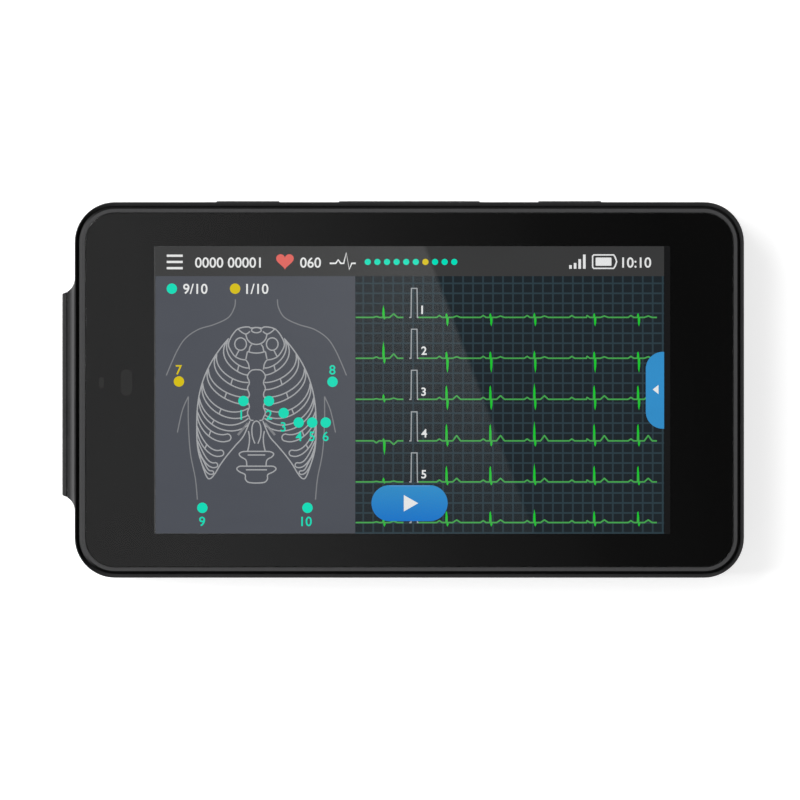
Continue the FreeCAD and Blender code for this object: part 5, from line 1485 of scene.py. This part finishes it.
    def electrodes(self) -> None:
        """Draws the key, the ten electrode dots and their plain numbers."""
        chest = [(87.8, 154.5), (113.3, 154.5), (128, 166.5), (143, 176), (156.5, 176),
                 (170, 176)]
        limbs = [(176.8, 135.3), (46.8, 261.2), (151.8, 261.2)]
        teal, yellow = Hue.TEAL.finish, Hue.YELLOW.finish
        self.dots("electrodes_on", Layer.MARK, teal, self.dot, [(16.3, 42.3), *chest, *limbs])
        self.dots("electrodes_off", Layer.MARK, yellow, self.dot, [(79.5, 42.3), (23.4, 135)])
        self.digits("key_digits", Hue.WHITE.finish, [
            ("9/10", 27.6, 47.6, self.key_digit), ("1/10", 90.6, 47.6, self.key_digit)])
        marks = [(str(k + 1), across + self.number[0], down + self.number[1], self.digit)
                 for k, (across, down) in enumerate(chest)]
        marks += [("8", 173.6, 128.2, self.digit), ("9", 43.6, 279.6, self.digit),
                  ("10", 145.6, 279.6, self.digit)]
        self.digits("electrode_digits", teal, marks)
        self.digits("electrode_digit_off", yellow, [("7", 20.2, 128.2, self.digit)])


@dataclass(frozen=True)
class Wave:
    """The heights of one row's waves in steps of the layout.

    Attributes:
        up: The sharp wave's rise.
        down: Its fall below the base line.
        before: The small wave ahead of it.
        after: The round wave behind it.
    """

    up: float
    down: float
    before: float
    after: float


@dataclass
class Chart(ScreenPart):
    """The right panel: ruled paper with six heart traces, each with its size pulse.

    Attributes:
        left: The panel's left side in steps of the layout.
        pitch: The pitch of the ruling.
        rule: The width of a ruled line.
        first_across: How far right of the panel's side its first upright line is.
        first_down: How far below the panel's top its first level line is.
        stroke: The width of a trace and of a size pulse.
        fine: How long one piece of a trace is.
        rows: The rows of the six base lines.
        beats: The columns of the beats after the size pulse.
        first: The column of the beat before it.
        lone: The column of a small wave that no beat follows.
        stretches: Where each trace runs before and after its size pulse.
        pulse: The column of each corner of the size pulse and how far up it is.
        mark: The column where a row's number starts.
        raised: How far above the base line the number stands.
        digit: The height of the number.
        weight: How much its strokes are thickened, as a share of the type size.
        waves: The shape of a beat in each row.
        opening: The shape of the first beat in each row.
    """

    left: float = 199.5
    pitch: float = 9.97
    rule: float = 1.7
    first_across: float = 8.0
    first_down: float = 7.2
    stroke: float = 1.5
    fine: float = 0.22
    rows: tuple[float, ...] = (71.0, 111.8, 152.8, 194.3, 235.3, 275.9)
    beats: tuple[float, ...] = (290.7, 334.5, 378.4, 438.2, 482.0)
    first: float = 227.7
    lone: float = 423.0
    stretches: tuple[Point, ...] = ((199.9, 247.6), (262.6, 500.8))
    pulse: tuple[Point, ...] = ((253.6, 0), (255.2, 0), (255.6, 29), (261.2, 29), (261.6, 0),
                                (262.6, 0))
    mark: float = 265.5
    raised: float = 3.4
    digit: float = 8.4
    weight: float = 0.02
    waves: tuple[Wave, ...] = (
        Wave(4, 9, 1.9, 1.4), Wave(7, 15, 1.9, 1.5), Wave(15.5, 11, 1.9, 3.6),
        Wave(19, 5.5, 1.9, 5.4), Wave(18, 3, 1.9, 3.6), Wave(12.5, 3.5, 1.9, 2.6))
    opening: tuple[Wave, ...] = (
        Wave(12, 1.5, 1.0, 3.6), Wave(17, 5, 1.4, 4.4), Wave(5, 2.5, 0.6, 1.2),
        Wave(2, 14, -2.0, -3.6), Wave(4, 1, 0.5, 0.8), Wave(4, 3.5, 0.8, 1.4))

    def build(self) -> None:
        """Builds the panel."""
        step, layer, top = LAYOUT.step, Layer.GRID, StatusBar.height
        self.plate("chart_ground", Layer.GROUND, Hue.CHART.finish,
                   LAYOUT.area(self.left, LAYOUT.width, top, LAYOUT.height))
        self.keep(RECIPES["grid"].run(
            "chart_ruling", new_mesh("chart_ruling", [(0, 0, 0)]), Hue.RULING.finish,
            Width=(LAYOUT.width - self.left) * step, Height=(LAYOUT.height - top) * step,
            Pitch=self.pitch * step, Line=self.rule * step, Thickness=layer.thickness,
            Level=layer.middle, Left=LAYOUT.x(self.left), Top=LAYOUT.y(top),
            First_across=self.first_across * step, First_down=self.first_down * step))
        for number, (base, wave, opening) in enumerate(zip(self.rows, self.waves, self.opening),
                                                       start=1):
            lone = Wave(0, 0, wave.before, 0)
            self.trace(f"trace_{number}_1", base, self.stretches[0], [(self.first, opening)])
            self.trace(f"trace_{number}_2", base, self.stretches[1],
                       [(column, wave) for column in self.beats] + [(self.lone, lone)])
        self.lines("size_pulses", Layer.LINE, Hue.PULSE.finish, self.stroke, [
            LAYOUT.line(*[(across, base - up) for across, up in self.pulse])
            for base in self.rows])
        self.digits("trace_digits", Hue.WHITE.finish, [
            (str(number), self.mark, base - self.raised, self.digit)
            for number, base in enumerate(self.rows, start=1)], self.weight)

    def trace(self, name: str, base: float, stretch: Point,
              beats: Sequence[tuple[float, Wave]]) -> None:
        """Draws one stretch of a row's trace.

        Args:
            name: The piece's name.
            base: The row of its base line.
            stretch: The columns that it runs between.
            beats: Each beat's column and waves.
        """
        layer, step = Layer.LINE, LAYOUT.step
        source = new_mesh(name, [(LAYOUT.x(column), LAYOUT.y(base), layer.middle)
                                 for column, _ in beats])
        for key in Beats.WAVES:
            source.attributes.new(key, "FLOAT", "POINT").data.foreach_set(
                "value", [getattr(wave, key) * step for _, wave in beats])
        green = ScreenLight("screen_trace", Hue.GREEN.value, Hue.GREEN_PEAK.value)
        self.keep(RECIPES["beats"].run(
            name, source, green, Start=LAYOUT.x(stretch[0]), End=LAYOUT.x(stretch[1]),
            Base=LAYOUT.y(base), Level=layer.middle, Step=self.fine * step,
            Line=self.stroke * step, Thickness=layer.thickness))


@dataclass
class Controls(ScreenPart):
    """The blue start button, the blue tab that opens the side panel and the dim margin.

    Attributes:
        top: The start button's upper row.
        bottom: Its lower row.
        radius: The radius of its ends in steps of the layout.
        tab_radius: The radius of the tab's left corners.
        gap: How far the margin stays off the lit area.
    """

    top: float = 238.6
    bottom: float = 274.5
    radius: float = 17.9
    tab_radius: float = 17.0
    gap: float = 0.5

    def build(self) -> None:
        """Builds the controls and the margin."""
        blue = ScreenLight("screen_start_button", Hue.BLUE.value, Hue.BLUE_LOW.value,
                           LAYOUT.y(self.top), LAYOUT.y(self.bottom))
        white, width = Hue.WHITE.finish, LAYOUT.width
        self.plate("start_button", Layer.CONTROL, blue,
                   LAYOUT.area(215.7, 291.8, self.top, self.bottom, (self.radius,) * 4))
        self.lines("start_button_rim", Layer.SIGN, Hue.BLUE_EDGE.finish, 0.9,
                   [LAYOUT.line((233.6, 239.3), (273.9, 239.3))])
        self.plate("start_mark", Layer.SIGN, white,
                   LAYOUT.line((248, 248.4), (248, 264.8), (262.4, 256.6)))
        self.plate("side_tab", Layer.CONTROL, Hue.BLUE_TAB.finish,
                   LAYOUT.area(489.7, width, 105.4, 182.2, (self.tab_radius, 0.0, 0.0,
                                                            self.tab_radius)))
        self.plate("side_tab_mark", Layer.SIGN, white,
                   LAYOUT.line((496.6, 143.0), (502.4, 147.6), (502.4, 138.4)))
        self.plate("side_margin", Layer.GROUND, Hue.MARGIN.finish,
                   LAYOUT.area(width + self.gap, width + LAYOUT.margin, 0, LAYOUT.height))


# ------------------------------------------------------------------------------- CAD finishes


@dataclass(frozen=True)
class Dress:
    """Gives a sub-assembly's CAD nodes the finishes of their slots.

    Attributes:
        name: The sub-assembly's name.
        finishes: The finish of each of its material slots.
    """

    name: str
    finishes: dict[str, Finish]

    def apply(self, nodes: Iterable[Piece]) -> int:
        """Dresses the nodes whose slots this sub-assembly has.

        Args:
            nodes: Every CAD node.

        Returns:
            How many slots were dressed.
        """
        count = 0
        for slot in [slot for node in nodes for slot in node.material_slots]:
            key = slot.material.name.split(".")[0] if slot.material else ""
            if key in self.finishes:
                slot.material = self.finishes[key].get()
                count += 1
        return count


BLACK = (0.02, 0.02, 0.021)
ENCLOSURE = Dress("enclosure", {
    "housing_plastic": HousingPlastic("moulded_housing", (0.018, 0.018, 0.0185), 0.54,
                                      specular=0.1),
    "bezel_plastic": BezelPlastic("moulded_bezel"),
    "surround_plastic": MouldedPlastic("moulded_surround", (0.024, 0.024, 0.0245), 0.4,
                                       0.22 * MM, 0.015 * MM),
    "key_plastic": MouldedPlastic("moulded_keys", BLACK, 0.42, 0.2 * MM, 0.012 * MM),
    "brass": Metal("turned_brass", (0.72, 0.52, 0.24), (0.5, 0.35, 0.15), 0.26),
    "screw_steel": Metal("blacked_steel", (0.12, 0.12, 0.125), (0.07, 0.07, 0.075), 0.34, 1.0),
})
SCREEN_STACK = Dress("screen stack", {
    "cover_glass": CoverGlass("clear_glass"),
    "black_print": Ink("border_ink"),
    # The window ink's glow of 0.0085 is painted light that lightens the sensor windows.
    "window_print": Ink("window_ink", (0.03, 0.029, 0.029), 1.1, 0.2, 0.12, 0.0085),
    "sensor_glass": CoverGlass("sensor_glass", (0.97, 0.985, 0.98), (0.95, 0.97, 0.96)),
    "display": ScreenLight("unlit_panel", linear(17, 17, 18)),
    "backlight_metal": Metal("backlight_tray", (0.78, 0.78, 0.79), (0.6, 0.6, 0.61)),
    "magnesium": Metal("cast_magnesium", (0.5, 0.5, 0.51), (0.33, 0.33, 0.34), 0.5, 1.0,
                       0.02 * MM),
    "adhesive": FoamTape("foam_tape"),
    "flex_film": FlexFilm("amber_flex"),
})
ELECTRONICS = Dress("electronics", {
    "circuit_board": CircuitBoard("green_board"),
    "chip_plastic": MouldedPlastic("chip_epoxy", BLACK, 0.48, 0.05 * MM, 0.003 * MM),
    "shield_metal": Metal("tinned_shield", (0.68, 0.68, 0.69), (0.52, 0.52, 0.54), 0.28),
    "connector_plastic": MouldedPlastic("connector_nylon", (0.55, 0.53, 0.47),
                                        rub=(0.6, 0.58, 0.53)),
    "battery_foil": PouchFoil("pouch_foil"),
    "speaker_metal": Metal("speaker_can", (0.56, 0.56, 0.58), (0.42, 0.42, 0.44)),
    "mesh_fabric": WovenMesh("speaker_cloth"),
})
SOCKETS = Dress("sockets", {
    "plated_steel": Metal("nickel_plate", (0.66, 0.64, 0.6), (0.5, 0.48, 0.45), 0.22),
    "gold_contact": Metal("gold_flash", (0.95, 0.7, 0.3), (0.8, 0.56, 0.22), 0.18),
    "insulator_plastic": MouldedPlastic("black_insulator", BLACK, 0.45),
})


# ------------------------------------------------------------------------------------ studio


@dataclass(frozen=True)
class Lamp:
    """A soft square lamp.

    Attributes:
        name: The lamp's name.
        place: Where it hangs.
        side: The length of its side.
        power: Its power in watts.
        mirrored: Whether a glossy surface mirrors it.
    """

    name: str
    place: tuple[float, float, float]
    side: float
    power: float
    mirrored: bool = True

    def hang(self, target: Vector) -> None:
        """Hangs the lamp so that it faces the target and isn't seen through the glass."""
        data = bpy.data.lights.new(self.name, "AREA")
        data.shape, data.size, data.energy = "SQUARE", self.side, self.power
        lamp = placed(self.name, data)
        lamp.location, lamp.visible_glossy = self.place, self.mirrored
        lamp.visible_transmission = False
        lamp.rotation_euler = (target - Vector(self.place)).to_track_quat("-Z", "Y").to_euler()


@dataclass
class Studio:
    """The plain pale floor, the white surround, the soft lamps and the camera.

    Attributes:
        camera_place: Where the camera hangs, straight over the glass.
        lens: The camera's focal length in millimetres.
        sensor: The width of its sensor in millimetres.
        lamps: The lamps.
        aim: What the lamps face.
        surround: How strongly the surround lights.
        surround_mirrored: How much of its full strength glossy surfaces mirror.
        far: Half the side of the floor.
        floor_rise: How far from the middle the floor's glow starts and stops to rise.
        floor_glow: The glow at both places.
        card: Half the width and half the height of the card that the glass mirrors.
        card_height: How high the card hangs.
        slope: How far the card's fall round the screen turns with the height on the glass.
        border: The card's light round the screen, by place from left to right.
        cut: The ends of the slant that cuts the card's light over the screen.
        blur: Half the width of the slant's blur.
        shaded: The card's light right of the slant.
        least: The least light left of it.
        across: Between which columns the light left of it grows to the right.
        growth: How much light that adds at both columns.
        upward: Between which heights this light comes in.
        soft: Half the width of the blur at the screen's sides.
    """

    camera_place: tuple[float, float, float] = (-0.00203, -0.00219, 4.0)
    lens: float = 825.0
    sensor: float = 36.0
    lamps: tuple[Lamp, ...] = (
        Lamp("key_lamp", (-0.75, 0.45, 1.3), 0.9, 13.0),
        Lamp("fill_lamp", (0.9, -0.6, 1.3), 1.1, 4.0),
        Lamp("left_lamp", (-1.1, 0.05, 0.3), 0.5, 18.0, False))
    aim: tuple[float, float, float] = (0.0, 0.0, 0.01)
    surround: float = 0.3
    surround_mirrored: float = 0.25
    far: float = 12.0
    floor_rise: Point = (0.15, 0.8)
    floor_glow: Point = (0.58, 0.95)
    card: Point = (0.4, 0.3)
    card_height: float = 1.6
    slope: float = 0.2
    border: tuple[Point, ...] = ((-0.08, 0.63), (-0.055, 0.63), (-0.0235, 0.455), (0.007, 0.26),
                                 (0.029, 0.18), (0.036, 0.138), (0.063, 0.093))
    cut: tuple[Point, Point] = ((27.07 * MM, -31.1 * MM), (3.36 * MM, 31.2 * MM))
    blur: float = 0.5 * MM
    shaded: Colour = (0.03, 0.03, 0.03)
    least: float = 0.115
    across: Point = (-48.2 * MM, 3.4 * MM)
    growth: Point = (0.06, 0.29)
    upward: Point = (-30.5 * MM, 13.0 * MM)
    soft: float = 0.08 * MM

    def build(self) -> None:
        """Builds the studio."""
        scene = bpy.context.scene
        scene.view_settings.view_transform = "Standard"
        self.light_surround(scene)
        self.lay_floor()
        self.hang_card()
        for lamp in self.lamps:
            lamp.hang(Vector(self.aim))
        data = bpy.data.cameras.new("camera")
        data.sensor_width, data.lens = self.sensor, self.lens
        data.clip_start, data.clip_end = 0.01, 50.0
        scene.camera = placed("camera", data)
        scene.camera.location = self.camera_place

    @staticmethod
    def seen(nodes: Nodes, mirrored: float = 1.0) -> Socket:
        """Tells the rays that see something from those that only light by it.

        Args:
            nodes: The node tree to build in.
            mirrored: The value for glossy and transmission rays.

        Returns:
            1 for camera rays, and 0 for rays that light.
        """
        path = nodes.add("ShaderNodeLightPath").outputs
        total = path["Is Camera Ray"]
        for name in ("Is Glossy Ray", "Is Transmission Ray"):
            total = nodes.math("MULTIPLY_ADD", path[name], mirrored, total)
        return nodes.add("ShaderNodeClamp", values=(total,)).outputs[0]

    def light_surround(self, scene: bpy.types.Scene) -> None:
        """Makes the surround white where it is seen, and softer where it lights or is mirrored."""
        scene.world = bpy.data.worlds.new("surround")
        scene.world.use_nodes = True
        nodes = Nodes(scene.world.node_tree)
        strength = nodes.math("MULTIPLY_ADD", self.seen(nodes, self.surround_mirrored),
                              1.0 - self.surround, self.surround)
        nodes.fill(nodes.tree.nodes["Background"],
                   {"Color": (1.0, 1.0, 1.0), "Strength": strength})

    @staticmethod
    def sheet(name: str, outline: Sequence[Point], height: float, shade: Shade) -> Piece:
        """Makes a level sheet of the studio."""
        mesh = new_mesh(name, [(x, y, height) for x, y in outline],
                        faces=[tuple(range(len(outline)))])
        mesh.materials.append(shade.material)
        sheet = placed(name, mesh)
        return sheet

    def lay_floor(self) -> None:
        """Lays the floor, which keeps the object's shadow and can be looked through from below."""
        shade = Shade("pale_floor")
        away = shade.add("ShaderNodeVectorMath", {"operation": "LENGTH"}, (shade.place,))
        glow = shade.math("MULTIPLY", self.seen(shade),
                          shade.spread(away.outputs["Value"], *self.floor_rise,
                                       *self.floor_glow))
        shade.set(Base_Color=(0.82, 0.82, 0.82), Roughness=0.9, Specular_IOR_Level=0.0,
                  Emission_Color=(1.0, 1.0, 1.0), Emission_Strength=glow)
        shade.show(shade.add("ShaderNodeMixShader", values=(
            shade.add("ShaderNodeNewGeometry").outputs["Backfacing"], shade.shader.outputs[0],
            shade.add("ShaderNodeBsdfTransparent").outputs[0])))
        self.sheet("floor", rounded(-self.far, self.far, -self.far, self.far, (0.0,) * 4), 0.0,
                   shade)

    def hang_card(self) -> None:
        """Hangs the card that the glass mirrors.

        Its light is counted at the place on the glass where the camera sees it. Round the
        screen it falls off to the right, and over the screen it is cut slantwise.
        """
        shade = Shade("mirrored_card")
        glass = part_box("cover_glass")[1][2]
        grow = 1.0 + (self.card_height - glass) / (self.camera_place[2] - glass)
        shift = [middle * (1.0 - 1.0 / grow) for middle in self.camera_place[:2]]
        place = shade.mapped((1.0 / grow, 1.0 / grow, 1.0), shift=(*shift, 0.0))
        across, up = shade.axis(place, "X"), shade.axis(place, "Y")
        screen: object = 1.0
        for along, low, high in (
                (across, LAYOUT.x(0.0), LAYOUT.x(LAYOUT.width + LAYOUT.margin)),
                (up, LAYOUT.y(LAYOUT.height), LAYOUT.y(0.0))):
            for edge, ends in ((low, (0.0, 1.0)), (high, (1.0, 0.0))):
                inside = shade.spread(along, edge - self.soft, edge + self.soft, *ends)
                screen = shade.math("MULTIPLY", screen, inside)
        border = shade.ramp(shade.math("MULTIPLY_ADD", up, self.slope, across), self.border)
        lit = shade.math("MULTIPLY_ADD", shade.spread(across, *self.across, *self.growth),
                         shade.spread(up, *self.upward), self.least)
        (foot, bottom), (head, top) = self.cut
        lean = (foot - head) / (top - bottom)
        edge = head + lean * top
        dark = shade.spread(shade.math("MULTIPLY_ADD", up, lean, across), edge - self.blur,
                            edge + self.blur)
        level = shade.blend(screen, border, shade.blend(dark, lit, self.shaded))
        shade.show(shade.add("ShaderNodeEmission", Color=level))
        shade.material.cycles.emission_sampling = "NONE"
        wide, high = self.card
        card = self.sheet("mirrored_card", rounded(-wide, wide, -high, high, (0.0,) * 4)[::-1],
                          self.card_height, shade)
        card.visible_camera = card.visible_diffuse = card.visible_shadow = False


RECIPES: dict[str, Recipe] = {}


def main() -> None:
    """Builds the finishes, the lit screen and the studio, and reports each."""
    logging.basicConfig(level=logging.INFO, format="%(message)s")
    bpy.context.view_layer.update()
    Studio().build()
    for dress in (ENCLOSURE, SCREEN_STACK, ELECTRONICS, SOCKETS):
        LOG.info("%s: %d slots dressed", dress.name, dress.apply(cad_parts.values()))
    RECIPES.update(strokes=Strokes("drawn_lines"), grid=Grid("ruling"), dots=Dots("round_dots"),
                   beats=Beats("heart_beats"))
    for part in (StatusBar(), BodyMap(), Chart(), Controls()):
        part.build()
        for piece in part.pieces:
            LOG.info("%s: %s, %d faces", type(part).__name__, piece.name,
                     len(piece.data.polygons))


if __name__ == "__main__":
    main()
